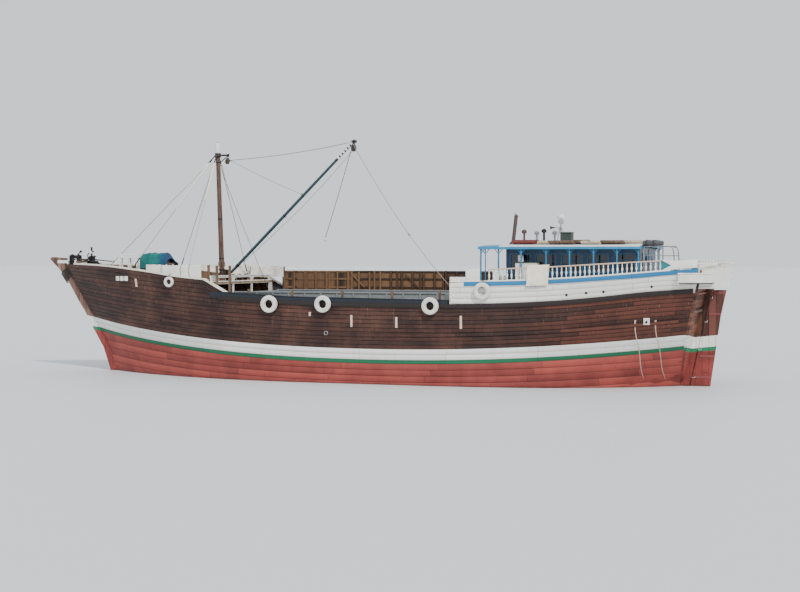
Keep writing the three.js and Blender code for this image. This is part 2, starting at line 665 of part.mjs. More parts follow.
// The closed box that overhangs each quarter. Its inner face follows the ship's side.
function latrine(side) {
  const { low, high, out } = LATRINE;
  const inner = steps(6).map((u) => {
    const x = mix(LATRINE.aft, LATRINE.fore, u);
    return [x, side * (halfBreadth(x, high) + LATRINE.seat)];
  });
  return planXY([...inner, [LATRINE.fore, side * out], [LATRINE.aft, side * out]], low, high);
}

// Weather boards that stand on the forecastle's cap rail.
function screen(side) {
  const carrier = ridge(FORECASTLE);
  const run = {
    aft: SCREEN.aft, fore: SCREEN.fore, carrier, at: railTop, low: (x) => carrier.height(x) + 60,
    high: () => SCREEN.top,
  };
  return sideStrip(run, side, SCREEN.outer, SCREEN.inner);
}

function upperWorks() {
  for (const [name, side] of SIDES) {
    add(`cap_rail_${name}`, "white_paint", join(capRail(side), screen(side), ...tyresOn("cap_rail", side)));
    add(`poop_rail_${name}`, "white_paint", join(balustrade(side), quarterPanel(side)));
    add(`latrine_${name}`, "white_paint", latrine(side));
  }
  add("stern_gallery", "white_paint", sternGallery());
  add("hold_boards", "hold_timber", holdBoards());
}

// Poop house

function house() {
  const [foot, head] = [POOP_DECK + GAP, CANOPY.top - CANOPY.depth - GAP];
  const opening = (alongX, acrossY) => box(alongX, acrossY, [CABIN.sill, CABIN.head]);
  for (const [name, side] of SIDES) {
    const [y0, y1] = [side * CABIN.half, side * (CABIN.half - CABIN.wall)].sort((a, b) => a - b);
    const wall = box([CABIN.aft, CABIN.fore], [y0, y1], [foot, head]);
    const windows = steps(4).map((u) => {
      const x = mix(CABIN.aft + 750, CABIN.fore - 750, u);
      return opening([x - 500, x + 500], [y0 - 200, y0 + 200]);
    });
    add(`cabin_wall_${name}`, "cabin_paint", cut(wall, ...windows));
  }
  const inside = CABIN.half - CABIN.wall - GAP;
  const front = box([CABIN.fore - CABIN.wall, CABIN.fore], [-inside, inside], [foot, head]);
  const frontWindows = [-1, 0, 1].map((place) =>
    opening([CABIN.fore - 300, CABIN.fore + 100], [place * 1400 - 550, place * 1400 + 550]),
  );
  add("cabin_front", "cabin_paint", cut(front, ...frontWindows));

  const back = box([CABIN.aft, CABIN.aft + CABIN.wall], [-inside, inside], [foot, head]);
  const doorway = box(
    [CABIN.aft - 100, CABIN.aft + 200], [DOOR.hinge, DOOR.hinge + DOOR.width], [POOP_DECK - 10, DOOR.head],
  );
  const backWindow = opening([CABIN.aft - 100, CABIN.aft + 200], [400, 1600]);
  const barrelX = CABIN.aft - 24;
  const barrels = HINGE_HEIGHTS.map((z) =>
    join(
      rod([barrelX, DOOR.hinge, z - 60], [barrelX, DOOR.hinge, z], 18),
      box([barrelX, CABIN.aft + 10], [DOOR.hinge - 60, DOOR.hinge - 6], [z - 55, z - 5]),
      box([barrelX - 10, barrelX + 10], [DOOR.hinge - 60, DOOR.hinge], [z - 55, z - 5]),
    ),
  );
  add("cabin_back", "cabin_paint", join(cut(back, doorway, backWindow), ...barrels));

  const leaf = box(
    [CABIN.aft - 6, CABIN.aft - 6 + DOOR.thickness], [DOOR.hinge + 24, DOOR.hinge + DOOR.width - 8],
    [POOP_DECK + 10, DOOR.head - 8],
  );
  const knuckles = HINGE_HEIGHTS.map((z) =>
    join(
      rod([barrelX, DOOR.hinge, z + GAP], [barrelX, DOOR.hinge, z + 60], 18),
      box([barrelX - 10, barrelX + 30], [DOOR.hinge, DOOR.hinge + 60], [z + 5, z + 55]),
    ),
  );
  add("cabin_door", "cabin_paint", join(leaf, ...knuckles));

  for (const [name, side] of SIDES) {
    const y = side * POSTS.y;
    const along = [CANOPY.aft + 50, CANOPY.fore - 50];
    const beam = box(along, [y - POSTS.half, y + POSTS.half], [head - 110, head]);
    const posts = CANOPY_POSTS.map((x) =>
      box([x - POSTS.half, x + POSTS.half], [y - POSTS.half + 2, y + POSTS.half - 2], [foot, head - 50]),
    );
    add(`canopy_posts_${name}`, "cabin_paint", join(beam, ...posts));
  }

  helm(foot);
}

// The wheel abaft its pedestal. Its spindle turns in the pedestal.
function helm(foot) {
  const pedestal = join(
    box([HELM.x - 150, HELM.x + 150], [-130, 130], [foot, HELM.z - 150]),
    box([HELM.x - 60, HELM.x + 120], [-90, 90], [HELM.z - 160, HELM.z + 80]),
  );
  const bearing = bore([HELM.x - 250, 0, HELM.z], [HELM.x + 200, 0, HELM.z], HELM.spindle + RUNNING);
  add("helm_pedestal", "hold_timber", cut(pedestal, bearing));
  const rim = new THREE.TorusGeometry(HELM.radius, HELM.tube, 6, 24).rotateY(90 * DEGREE);
  const wheelX = HELM.x - 260;
  const spokes = [0, 1, 2, 3].map((turn) => {
    const [dy, dz] = [Math.cos(turn * 45 * DEGREE), Math.sin(turn * 45 * DEGREE)].map((part) => part * 440);
    return rod([wheelX, -dy, HELM.z - dz], [wheelX, dy, HELM.z + dz], 16, 16, 6);
  });
  const hub = rod([wheelX - 45, 0, HELM.z], [wheelX + 45, 0, HELM.z], 60);
  const shaft = pin([wheelX, 0, HELM.z], [HELM.x + 100, 0, HELM.z], HELM.spindle);
  add("steering_wheel", "hold_timber", join(rim.translate(wheelX, 0, HELM.z), ...spokes, hub, shaft));
}

// Roof of the poop, and what stands on it

const roofTop = (y) => CANOPY.top - CANOPY.camber * (y / CANOPY.half) ** 2;

// Ventilators, as x, y and the height of the head.
const VENTS = [[-6950, 400, 7920], [-7450, -300, 7850], [-7950, 200, 7950], [-8350, -500, 7860]];

// Bundles of dunnage, as aft end, fore end, the y of the inner edge and the height over the roof.
const BUNDLES = [
  [-7900, -6500, 700, 190], [-8900, -7950, 1250, 180], [-9900, -8600, 1550, 190], [-10600, -9700, 1150, 200],
  [-11300, -10300, 1650, 180], [-12400, -11200, 1450, 190], [-12900, -12000, -650, 190],
  [-9800, -8800, -1150, 190],
];

function roof() {
  const across = steps(12).map((t) => mix(-CANOPY.half, CANOPY.half, t));
  const section = [
    [-CANOPY.half, CANOPY.top - CANOPY.depth], ...across.map((y) => [y, roofTop(y)]),
    [CANOPY.half, CANOPY.top - CANOPY.depth],
  ];
  const vents = VENTS.map(([x, y, head]) => {
    const stem = rod([x, y, roofTop(y) - 30], [x, y, head - 150], 55);
    return join(stem, rod([x, y, head - 200], [x, y, head], 130, 90));
  });
  const locker = box([LOCKER.aft, LOCKER.fore], [LOCKER.inner, LOCKER.outer], [roofTop(0) - 60, LOCKER.top]);
  const bundles = BUNDLES.map(([aft, fore, inner, height]) => {
    const seat = roofTop(inner);
    return box([aft, fore], [inner, inner + 420], [seat - 70, seat + height]);
  });
  const boarding = profileYZ(section, CANOPY.aft, CANOPY.fore);
  add("canopy_roof", "canopy_paint", join(boarding, locker, ...vents, ...bundles));

  const seat = CANOPY.top + GAP;
  add("exhaust_stack", "steel", rod([EXHAUST.x, 0, seat], [EXHAUST.x, 0, EXHAUST.top], EXHAUST.radius));
  const pole = rod([RADAR.x, 0, seat], [RADAR.x, 0, RADAR.head], 40, 30);
  const yard = rod([RADAR.x, -500, RADAR.yard], [RADAR.x, 500, RADAR.yard], 22);
  const dome = rod([RADAR.x, 0, RADAR.head - 20], [RADAR.x, 0, RADAR.head + 200], 150);
  add("radar_mast", "white_paint", join(pole, yard, dome));
}

// The pipe rack abaft the roof, and the folded raft that it carries.
function raft() {
  const beamZ = RAFT.seat - RAFT.pipe;
  const [aftX, foreX] = [RAFT.aft + 50, RAFT.fore - 60];
  const [innerY, outerY] = [RAFT.inner + 100, RAFT.outer - 100];
  const pipe = (from, to) => rod(from, to, RAFT.pipe);
  const legs = [[aftX, innerY], [aftX, outerY], [foreX, innerY], [foreX, outerY]].map(([x, y]) =>
    pipe([x, y, POOP_DECK + GAP], [x, y, beamZ]),
  );
  const beams = [innerY, outerY].map((y) => pipe([RAFT.aft, y, beamZ], [RAFT.fore, y, beamZ]));
  const ties = [aftX, foreX].map((x) => pipe([x, innerY, beamZ], [x, outerY, beamZ]));
  add("raft_rack", "steel", join(...legs, ...beams, ...ties));
  add(
    "folded_raft", "hold_timber",
    box([RAFT.aft, RAFT.fore], [RAFT.inner, RAFT.outer], [RAFT.seat + GAP, RAFT.top]),
  );
}

// Mast and derrick

const mastPoint = (z) => [MAST.x + (z - MAST.foot) * Math.tan(MAST.lean * DEGREE), 0, z];

function mastPole(grown = 0) {
  const foot = mastPoint(MAST.foot - (grown ? 50 : 0));
  return rod(foot, mastPoint(MAST.top), MAST.radius + grown, MAST.headRadius + grown, 20);
}

const STAYS = [
  { name: "forestay", foot: [18200, 0, foredeckTop(18200) + 4] },
  { name: "fore_stay_port", foot: [14500, 2820, railTop(14500) + 100] },
  { name: "fore_stay_starboard", foot: [14500, -2820, railTop(14500) + 100] },
  { name: "shroud_port", foot: [10750, 3850, railTop(10750) + 100] },
  { name: "shroud_starboard", foot: [10750, -3850, railTop(10750) + 100] },
];

function rig() {
  const bandRadius = MAST.headRadius + 35;
  const band = rod(mastPoint(MAST.band - 90), mastPoint(MAST.band + 90), bandRadius, bandRadius, 40);
  const crane = box([SLEW.x - 20, mastPoint(MAST.band)[0]], [-35, 35], [MAST.band - 45, MAST.band + 45]);
  const craneEye = rod([SLEW.x, 0, MAST.band - 80], [SLEW.x, 0, MAST.band + 70], 50);
  add("mast", "mast_timber", join(mastPole(), band, crane, craneEye));

  const collar = rod(mastPoint(5440), mastPoint(5500), 190);
  const upperCollar = rod(mastPoint(5740), mastPoint(5800), 190);
  const backPlate = box([10200, 10400], [-90, 90], [5440, 5800]);
  const lugs = [[5470, 5530], [5710, 5770]].map((height) => box([SLEW.x - 80, 10300], [-80, 80], height));
  const slewPin = pin([SLEW.x, 0, 5460], [SLEW.x, 0, 5780], SLEW.pin);
  add("gooseneck", "steel", cut(join(collar, upperCollar, backPlate, ...lugs, slewPin), mastPole(GAP)));

  const block = box([SLEW.x - 75, SLEW.x + 75], [-45, 45], [5530 + GAP, 5705]);
  const tongue = join(
    box([LUFF.x, SLEW.x], [-45, 45], [LUFF.z - 55, LUFF.z + 55]),
    rod([LUFF.x, -45, LUFF.z], [LUFF.x, 45, LUFF.z], 55),
  );
  const slewBore = bore([SLEW.x, 0, 5400], [SLEW.x, 0, 5900], SLEW.pin + RUNNING);
  const luffBore = bore([LUFF.x, -80, LUFF.z], [LUFF.x, 80, LUFF.z], LUFF.pin + RUNNING);
  add("derrick_heel", "steel", cut(join(block, tongue), slewBore, luffBore));

  const [reach, rise] = [LUFF.x - BOOM.tipX, BOOM.tipZ - LUFF.z];
  const length = Math.hypot(reach, rise);
  const cheeks = [-68, 68].map((y) =>
    join(rod([0, y - 17, 0], [0, y + 17, 0], 55), box([0, BOOM.fork], [y - 17, y + 17], [-52, 52])),
  );
  const yoke = box([BOOM.fork - 70, BOOM.fork + 40], [-85, 85], [-52, 52]);
  const spar = rod([BOOM.fork - 40, 0, 0], [length, 0, 0], BOOM.radius, BOOM.tipRadius, 16);
  const tipBand = rod([length - 160, 0, 0], [length - 20, 0, 0], BOOM.tipRadius + 26);
  const crossPin = pin([0, -95, 0], [0, 95, 0], LUFF.pin);
  const hang = [length - 90, 0, 0];
  const sheave = [hang[0] - (BOOM.blockDrop * rise) / length, (BOOM.blockDrop * reach) / length];
  const tipBlock = join(
    rod(hang, [sheave[0], 0, sheave[1]], 32, 32, 8),
    rod([sheave[0], -60, sheave[1]], [sheave[0], 60, sheave[1]], 120, 120, 14),
  );
  const boom = join(...cheeks, yoke, spar, tipBand, crossPin, tipBlock);
  boom.rotateY(Math.PI + Math.atan2(rise, reach)).translate(LUFF.x, 0, LUFF.z);
  add("derrick_boom", "boom_paint", boom);

  const masthead = new THREE.Vector3(...mastPoint(MAST.band));
  for (const { name, foot: [x, y, z] } of STAYS) {
    const out = new THREE.Vector3(x, y, 0).sub(new THREE.Vector3(masthead.x, 0, 0)).normalize();
    const at = (distance) => masthead.clone().addScaledVector(out, bandRadius + distance).toArray();
    const lugRadius = 24;
    const clear = GAP + lugRadius * Math.tan(MAST.lean * DEGREE) * Math.abs(out.x);
    const lug = rod(at(clear), at(90), lugRadius);
    const stay = rod(at(60), [x, y, z + 60], 22, 22, 8);
    const eye = box([x - 60, x + 60], [y - 60, y + 60], [z, z + 90]);
    add(name, "wire", join(lug, stay, eye));
  }
}

// Steering and propulsion

function rudder() {
  const fore = (z) => rudderAxisX(z) - RUDDER.forward;
  const outline = [
    [fore(RUDDER.head), RUDDER.head], [-17230, RUDDER.head], [-16950, 3540], [-16700, 1730], [-16450, 0],
    [-16400, -1300], [-16150, RUDDER.foot], [fore(RUDDER.foot), RUDDER.foot],
  ];
  const blade = profileXZ(outline, -RUDDER.half, RUDDER.half);
  const notches = GUDGEONS.map((z) => {
    const x = rudderAxisX(z);
    const reach = GUDGEON.half + 24;
    return box([x - GUDGEON.radius - 18, x + 150], [-200, 200], [z - reach, z + reach]);
  });
  const lugs = GUDGEONS.flatMap((z) => [
    rod(axisPoint(z + GUDGEON.half + GAP), axisPoint(z + GUDGEON.half + 130), GUDGEON.radius),
    rod(axisPoint(z - GUDGEON.half), axisPoint(z + GUDGEON.half + 60), GUDGEON.pin),
  ]);
  add("rudder", "planking", join(cut(blade, ...notches), ...lugs));
}

function propulsion() {
  const chordAt = smoothCurve([[90, 200], [300, 340], [540, 370], [720, 190]]);
  const thicknessAt = smoothCurve([[90, 46], [300, 30], [540, 20], [720, 10]]);
  // The corners of a blade's section, as shares of half its chord and half its thickness.
  const corners = [
    [-1, 0.15], [-0.4, 1], [0.4, 1], [1, 0.15], [1, -0.15], [0.4, -0.5], [-0.4, -0.5], [-1, -0.15],
  ];
  const blade = () => {
    const rings = steps(9).map((share) => {
      const radius = mix(90, PROPELLER.radius, share);
      const angle = Math.atan2(PROPELLER.pitch, 2 * Math.PI * radius);
      const [sine, cosine] = [Math.sin(angle), Math.cos(angle)];
      const [chord, thickness] = [chordAt(radius) / 2, thicknessAt(radius) / 2];
      return corners.map(([c, t]) => [
        sine * c * chord + cosine * t * thickness, cosine * c * chord - sine * t * thickness, radius,
      ]);
    });
    return loft(rings);
  };
  const blades = [0, 1, 2, 3].map((turn) => blade().rotateX(turn * 90 * DEGREE));
  const halfHub = PROPELLER.length / 2;
  const hub = rod([-halfHub, 0, 0], [halfHub, 0, 0], PROPELLER.hub - 25, PROPELLER.hub);
  const wheel = join(hub, ...blades).translate(PROPELLER.x, 0, PROPELLER.z);
  add("propeller", "bronze", wheel);
  const from = PROPELLER.x + PROPELLER.length / 2 + GAP;
  const to = ENGINE.aft - GAP;
  add("propeller_shaft", "steel", rod([from, 0, PROPELLER.z], [to, 0, PROPELLER.z], SHAFT.radius));
  add(
    "engine", "steel",
    box([ENGINE.aft, ENGINE.fore], [-ENGINE.half, ENGINE.half], [ENGINE_ROOM.floor + GAP, ENGINE.top]),
  );
}

// Deck gear

function windlass() {
  const foot = foredeckTop(WINDLASS.x + 160) + GAP;
  const axle = foot + WINDLASS.height;
  const along = [WINDLASS.x - 160, WINDLASS.x + 160];
  const cheeks = [-1, 1].map((side) => {
    const y = side * (WINDLASS.half + 60);
    return box(along, [y - 45, y + 45], [foot, axle + 200]);
  });
  const sill = box(along, [-WINDLASS.half - 40, WINDLASS.half + 40], [foot, foot + 80]);
  const bearing = bore([WINDLASS.x, -1200, axle], [WINDLASS.x, 1200, axle], WINDLASS.spindle + RUNNING);
  add("windlass_frame", "hold_timber", cut(join(...cheeks, sill), bearing));
  const reach = WINDLASS.half - 5;
  const drum = rod([WINDLASS.x, -reach, axle], [WINDLASS.x, reach, axle], WINDLASS.radius);
  const spindle = pin([WINDLASS.x, -950, axle], [WINDLASS.x, 950, axle], WINDLASS.spindle);
  add("windlass_drum", "mast_timber", join(drum, spindle));
}

// Pairs of mooring bitts with a bar through them, as name, x and the y of the two posts.
const BITTS = [["bitts_aft", 15900, 500], ["bitts_fore", 18050, 420]];

function bitts() {
  for (const [name, x, y] of BITTS) {
    const foot = foredeckTop(x + BITT.half) + GAP;
    const posts = [-y, y].map((at) =>
      box([x - BITT.half, x + BITT.half], [at - BITT.half, at + BITT.half], [foot, foot + BITT.height]),
    );
    const ends = [-y - BITT.reach, y + BITT.reach];
    const bar = box([x - BITT.bar, x + BITT.bar], ends, [foot + BITT.barLow, foot + BITT.barHigh]);
    add(name, "hold_timber", join(...posts, bar));
  }
}

// The anchor winch at the bow, which is stowed with its drum lashed.
function winch() {
  const foot = foredeckTop(WINCH.fore) + GAP;
  const axle = foot + WINCH.axle;
  const bed = box([WINCH.aft, WINCH.fore], [-WINCH.half, WINCH.half], [foot, foot + 80]);
  const cheeks = [-1, 1].map((side) => {
    const y = side * (WINCH.half - 40);
    return box([WINCH.x - 150, WINCH.x + 150], [y - 30, y + 30], [foot + 40, axle + 160]);
  });
  const drum = rod([WINCH.x, -WINCH.half + 50, axle], [WINCH.x, WINCH.half - 50, axle], WINCH.drum);
  const shaft = rod([WINCH.x, -WINCH.half - 60, axle], [WINCH.x, WINCH.half + 60, axle], 45);
  const rim = [WINCH.half, WINCH.half + 60].map((y) => [WINCH.x, y, axle]);
  const wheel = rod(...rim, WINCH.wheel, WINCH.wheel, 16);
  const gearCase = box([WINCH.x + 60, WINCH.fore - 20], [-200, 100], [foot + 40, axle + 550]);
  const pipe = rod([WINCH.fore - 120, -50, axle + 500], [WINCH.fore - 120, -50, axle + 1050], 50);
  add("anchor_winch", "steel", join(bed, ...cheeks, drum, shaft, wheel, gearCase, pipe));
}

// Stores on the foredeck, stacked and covered.
function stores() {
  const { aft, fore, inner, outer, shoulder, top, step } = STORES;
  const foot = foredeckTop(fore) + GAP;
  add(
    "foredeck_stores", "hold_timber",
    join(
      box([aft, fore], [inner, outer], [foot, shoulder]),
      box([aft + step, fore - step], [inner + step, outer - step], [shoulder - 20, top]),
    ),
  );
}

backbone();
hull();
decks();
bulkheads();
sides();
upperWorks();
house();
roof();
raft();
rig();
rudder();
propulsion();
windlass();
bitts();
winch();
stores();

export default dhow;
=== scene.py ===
# %% [markdown]
# # Dressing a timber motor dhow
#
# The ship's solids come from the drawing office as plain timber and iron. Here they get their planking,
# paint, rails, glass and rigging, one cell at a time. +X is forward, +Y is to port, +Z is up, and z = 0 is
# the waterline.

# %% Load the frame
import math

import bpy
from mathutils import Matrix, Vector


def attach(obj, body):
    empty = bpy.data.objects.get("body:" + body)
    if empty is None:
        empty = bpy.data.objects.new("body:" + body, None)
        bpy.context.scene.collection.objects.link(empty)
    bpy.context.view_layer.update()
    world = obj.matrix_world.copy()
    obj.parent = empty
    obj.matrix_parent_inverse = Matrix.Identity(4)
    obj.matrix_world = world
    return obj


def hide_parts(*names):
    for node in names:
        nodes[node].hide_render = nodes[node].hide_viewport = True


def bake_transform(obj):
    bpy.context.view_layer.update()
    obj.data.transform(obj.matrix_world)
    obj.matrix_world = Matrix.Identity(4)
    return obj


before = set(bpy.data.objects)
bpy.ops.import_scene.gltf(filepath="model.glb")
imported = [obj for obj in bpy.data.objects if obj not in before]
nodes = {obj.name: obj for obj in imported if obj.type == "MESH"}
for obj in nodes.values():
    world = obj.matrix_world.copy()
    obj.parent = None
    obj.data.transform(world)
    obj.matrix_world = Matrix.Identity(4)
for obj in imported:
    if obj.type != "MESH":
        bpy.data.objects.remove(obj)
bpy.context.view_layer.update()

# %% [markdown]
# ## The camera
#
# The camera stands off the port quarter, a little above the deck, with a long lens. It looks nearly level,
# so the mast stays upright and the horizon lies just above the rail.

# %% The camera
CAMERA_PLACE = Vector((-26.18, 76.02, 6.485))
CAMERA_TURN = math.radians(19.0)
CAMERA_PITCH = math.radians(1.49)
CAMERA_LENS = 67.5

look = Vector((math.sin(CAMERA_TURN), -math.cos(CAMERA_TURN), -math.tan(CAMERA_PITCH)))
bpy.ops.object.camera_add(location=CAMERA_PLACE)
camera = bpy.context.object
camera.data.lens = CAMERA_LENS
camera.data.sensor_width = 36.0
camera.data.clip_end = 2000.0
camera.rotation_mode = "QUATERNION"
camera.rotation_quaternion = look.to_track_quat("-Z", "Y")
bpy.context.scene.camera = camera
print("camera looks along", [round(v, 3) for v in look])

# %% [markdown]
# ## Light and floor
#
# The floor is the water's surface, so it cuts the hull at its waterline, and it is left open where the hold
# is. One soft sun stands high over the port quarter, as in the photograph, and a pale sky fills the
# shadows.

# %% Light and floor
FLOOR_HALF = 900.0
INSIDE_AFT, INSIDE_FORE, INSIDE_HALF, INSIDE_LOW = -3.4, 8.4, 2.9, -1.4
SUN_PATH = Vector((0.55, -0.62, -0.72))
SUN_STRENGTH = 2.9
SKY_COLOUR = (0.86, 0.90, 0.95, 1.0)
SKY_STRENGTH = 1.15

world = bpy.data.worlds.new("pale_sky")
world.use_nodes = True
world.node_tree.nodes["Background"].inputs["Color"].default_value = SKY_COLOUR
world.node_tree.nodes["Background"].inputs["Strength"].default_value = SKY_STRENGTH
bpy.context.scene.world = world

bpy.ops.object.light_add(type="SUN", location=(0, 0, 60))
sun = bpy.context.object
sun.data.energy = SUN_STRENGTH
sun.data.angle = math.radians(6)
sun.data.color = (1.0, 0.965, 0.91)
sun.rotation_mode = "QUATERNION"
sun.rotation_quaternion = SUN_PATH.to_track_quat("-Z", "Y")

# %% [markdown]
# ## A few hand tools
#
# An operator acts on everything that is selected, so each tool starts by clearing the selection. A finished
# piece has its place in its mesh, as the solids have, so every tool ends by applying the transform.

# %% Hand tools
PORT_AND_STARBOARD = (("port", 1), ("starboard", -1))


def pick(*pieces):
    """Selects these pieces alone, the first one active."""
    if bpy.context.mode != "OBJECT":
        bpy.ops.object.mode_set(mode="OBJECT")
    bpy.ops.object.select_all(action="DESELECT")
    for piece in pieces:
        piece.select_set(True)
    bpy.context.view_layer.objects.active = pieces[0]
    return pieces[0]


def settle(piece):
    """Applies a piece's place, turn and size to its mesh."""
    pick(piece)
    bpy.ops.object.transform_apply(location=True, rotation=True, scale=True)
    return piece


def modify(piece, kind, **settings):
    """Adds a modifier with these settings and applies it."""
    pick(piece)
    made = piece.modifiers.new(kind.lower(), kind)
    for key, value in settings.items():
        setattr(made, key, value)
    bpy.ops.object.modifier_apply(modifier=made.name)
    return piece


def thicken(piece, thickness, offset=-1):
    """Gives a sheet its thickness: behind its face, or before it with an offset of 1."""
    return modify(piece, "SOLIDIFY", thickness=thickness, offset=offset)


def eased(piece, width, segments=2):
    """Rounds a piece's sharp edges."""
    limit = math.radians(50)
    return modify(piece, "BEVEL", width=width, segments=segments, limit_method="ANGLE", angle_limit=limit)


def outward(piece):
    """Merges doubles and turns all faces out."""
    pick(piece)
    bpy.ops.object.mode_set(mode="EDIT")
    bpy.ops.mesh.select_all(action="SELECT")
    bpy.ops.mesh.remove_doubles(threshold=0.0002)
    bpy.ops.mesh.normals_make_consistent(inside=False)
    bpy.ops.object.mode_set(mode="OBJECT")
    return piece


def smooth(piece, angle=35):
    """Shades a piece smooth, but for edges sharper than the angle in degrees."""
    pick(piece)
    bpy.ops.object.shade_smooth_by_angle(angle=math.radians(angle))
    return piece


def joined(name, pieces):
    """Makes several pieces one."""
    pick(*pieces)
    if len(pieces) > 1:
        bpy.ops.object.join()
    made = bpy.context.view_layer.objects.active
    made.name = name
    made.data.name = name
    return made


triangles = {}


def dress(piece, finish, body="hull", slot=None, replaces=()):
    """Gives a piece its finish and its body, and counts its faces. The slot is not used."""
    piece.data.materials.clear()
    piece.data.materials.append(finish)
    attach(piece, body)
    if replaces:
        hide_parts(*replaces)
    triangles[piece.name] = sum(len(face.vertices) - 2 for face in piece.data.polygons)
    return piece


def fit(name, parts, finish, slot=None, replaces=(), body="hull"):
    """Joins parts under one name and dresses them."""
    return dress(joined(name, parts), finish, body, slot, replaces)


# %% Timber and iron stock
def block(corner, other, bevel=0.008, segments=2):
    """A squared timber or casting between two corners, with its edges eased."""
    low = Vector(min(pair) for pair in zip(corner, other))
    high = Vector(max(pair) for pair in zip(corner, other))
    bpy.ops.mesh.primitive_cube_add(size=1, location=(low + high) / 2)
    piece = bpy.context.object
    piece.scale = high - low
    settle(piece)
    if bevel:
        pick(piece)
        modify(piece, "BEVEL", width=min(bevel, 0.4 * min(high - low)), segments=segments)
    return piece


def beam(start, end, width, depth, bevel=0.006, up=(0, 0, 1)):
    """A squared timber from one point to another: width is level, depth is upright."""
    start, end = Vector(start), Vector(end)
    along = end - start
    piece = block((0, -width / 2, -depth / 2), (along.length, width / 2, depth / 2), bevel)
    across = Vector(up).cross(along).normalized()
    rise = along.normalized().cross(across)
    basis = Matrix((along.normalized(), across, rise)).transposed().to_4x4()
    piece.data.transform(Matrix.Translation(start) @ basis)
    return piece


def turned(profile, start, end, sides=20):
    """A piece turned on a lathe: a disc drawn out along the profile's stops, each a share and a radius."""
    start, end = Vector(start), Vector(end)
    length = (end - start).length
    bpy.ops.mesh.primitive_circle_add(vertices=sides, radius=profile[0][1], fill_type="NGON")
    piece = bpy.context.object
    bpy.ops.object.mode_set(mode="EDIT")
    bpy.ops.mesh.select_all(action="SELECT")
    for (share, radius), (next_share, next_radius) in zip(profile, profile[1:]):
        rise = (next_share - share) * length
        bpy.ops.mesh.extrude_region_move(TRANSFORM_OT_translate={"value": (0, 0, rise)})
        ratio = next_radius / radius
        centre = (0, 0, next_share * length)
        bpy.ops.transform.resize(value=(ratio, ratio, 1), center_override=centre)
    bpy.ops.object.mode_set(mode="OBJECT")
    aim = (end - start).to_track_quat("Z", "Y").to_matrix().to_4x4()
    piece.data.transform(Matrix.Translation(start) @ aim)
    return outward(piece)


def lathed(profile, start, end, sides=20, crease=40):
    """A turned piece, shaded smooth but for its sharp rims."""
    return smooth(turned(profile, start, end, sides), crease)


def bar(start, end, radius, end_radius=None, sides=10):
    """A plain round bar, with eased ends."""
    end_radius = end_radius or radius
    ease = min(0.25, 0.3 * radius / max(0.001, (Vector(end) - Vector(start)).length))
    stops = [(0, 0.7 * radius), (ease, radius), (1 - ease, end_radius), (1, 0.7 * end_radius)]
    return turned(stops, start, end, sides)


def drawn(points, radius, sides=8, closed=False):
    """Wire, rope or pipe drawn smoothly through a few points."""
    curve = bpy.data.curves.new("line", "CURVE")
    curve.dimensions = "3D"
    curve.bevel_depth = radius
    curve.bevel_resolution = max(0, sides // 2 - 2)
    curve.use_fill_caps = True
    spline = curve.splines.new("NURBS" if len(points) > 2 else "POLY")
    spline.points.add(len(points) - 1)
    for knot, place in zip(spline.points, points):
        knot.co = (*place, 1)
    if len(points) > 2:
        spline.order_u = 3
        spline.use_endpoint_u = not closed
    spline.use_cyclic_u = closed
    spline.resolution_u = 4
    line = bpy.data.objects.new("line", curve)
    bpy.context.scene.collection.objects.link(line)
    pick(line)
    bpy.ops.object.convert(target="MESH")
    return outward(bpy.context.object)


def ring_of(middle, radius, thick, first=(1, 0, 0), second=(0, 0, 1), count=8, sides=8):
    """A closed ring of round iron, in the plane of two directions."""
    angles = [k * math.tau / count for k in range(count)]
    first, second = Vector(first), Vector(second)
    points = [middle + radius * math.cos(a) * first + radius * math.sin(a) * second for a in angles]
    return drawn(points, thick, sides, True)


def mix(a, b, share):
    return a + (b - a) * share


def spread(first, last, count):
    """Evenly spaced places from the first to the last."""
    return [mix(first, last, i / (count - 1)) for i in range(count)]


def sag(start, end, drop, count=8):
    """Points of a line that hangs between two points, lower in its middle by the drop."""
    start, end = Vector(start), Vector(end)
    places = []
    for i in range(count + 1):
        share = i / count
        place = start.lerp(end, share)
        place.z -= 4 * drop * share * (1 - share)
        places.append(place)
    return places


def sheet_of(columns, rows, place, thickness=0.0, flip=False):
    """A panel laid by a rule: place(u, v) gives the point for shares along and up the panel."""
    bpy.ops.mesh.primitive_grid_add(x_subdivisions=columns, y_subdivisions=rows, size=2)
    piece = bpy.context.object
    for vertex in piece.data.vertices:
        vertex.co = place((vertex.co.x + 1) / 2, (vertex.co.y + 1) / 2)
    if flip:
        piece.data.flip_normals()
    if thickness:
        modify(piece, "SOLIDIFY", thickness=thickness, offset=-1, use_even_offset=False)
    return piece


print("hand tools ready")

# %% [markdown]
# ## Finishes as sums
#
# A finish is worked out from place: how far along a plank a point lies, which strake it is on, how near the
# seam. Node trees for that grow fast, so one small class lets the nodes be written as plain sums, and one
# method makes any other node. Only colour, roughness, metal and relief vary over a surface. The rest stays
# a number.

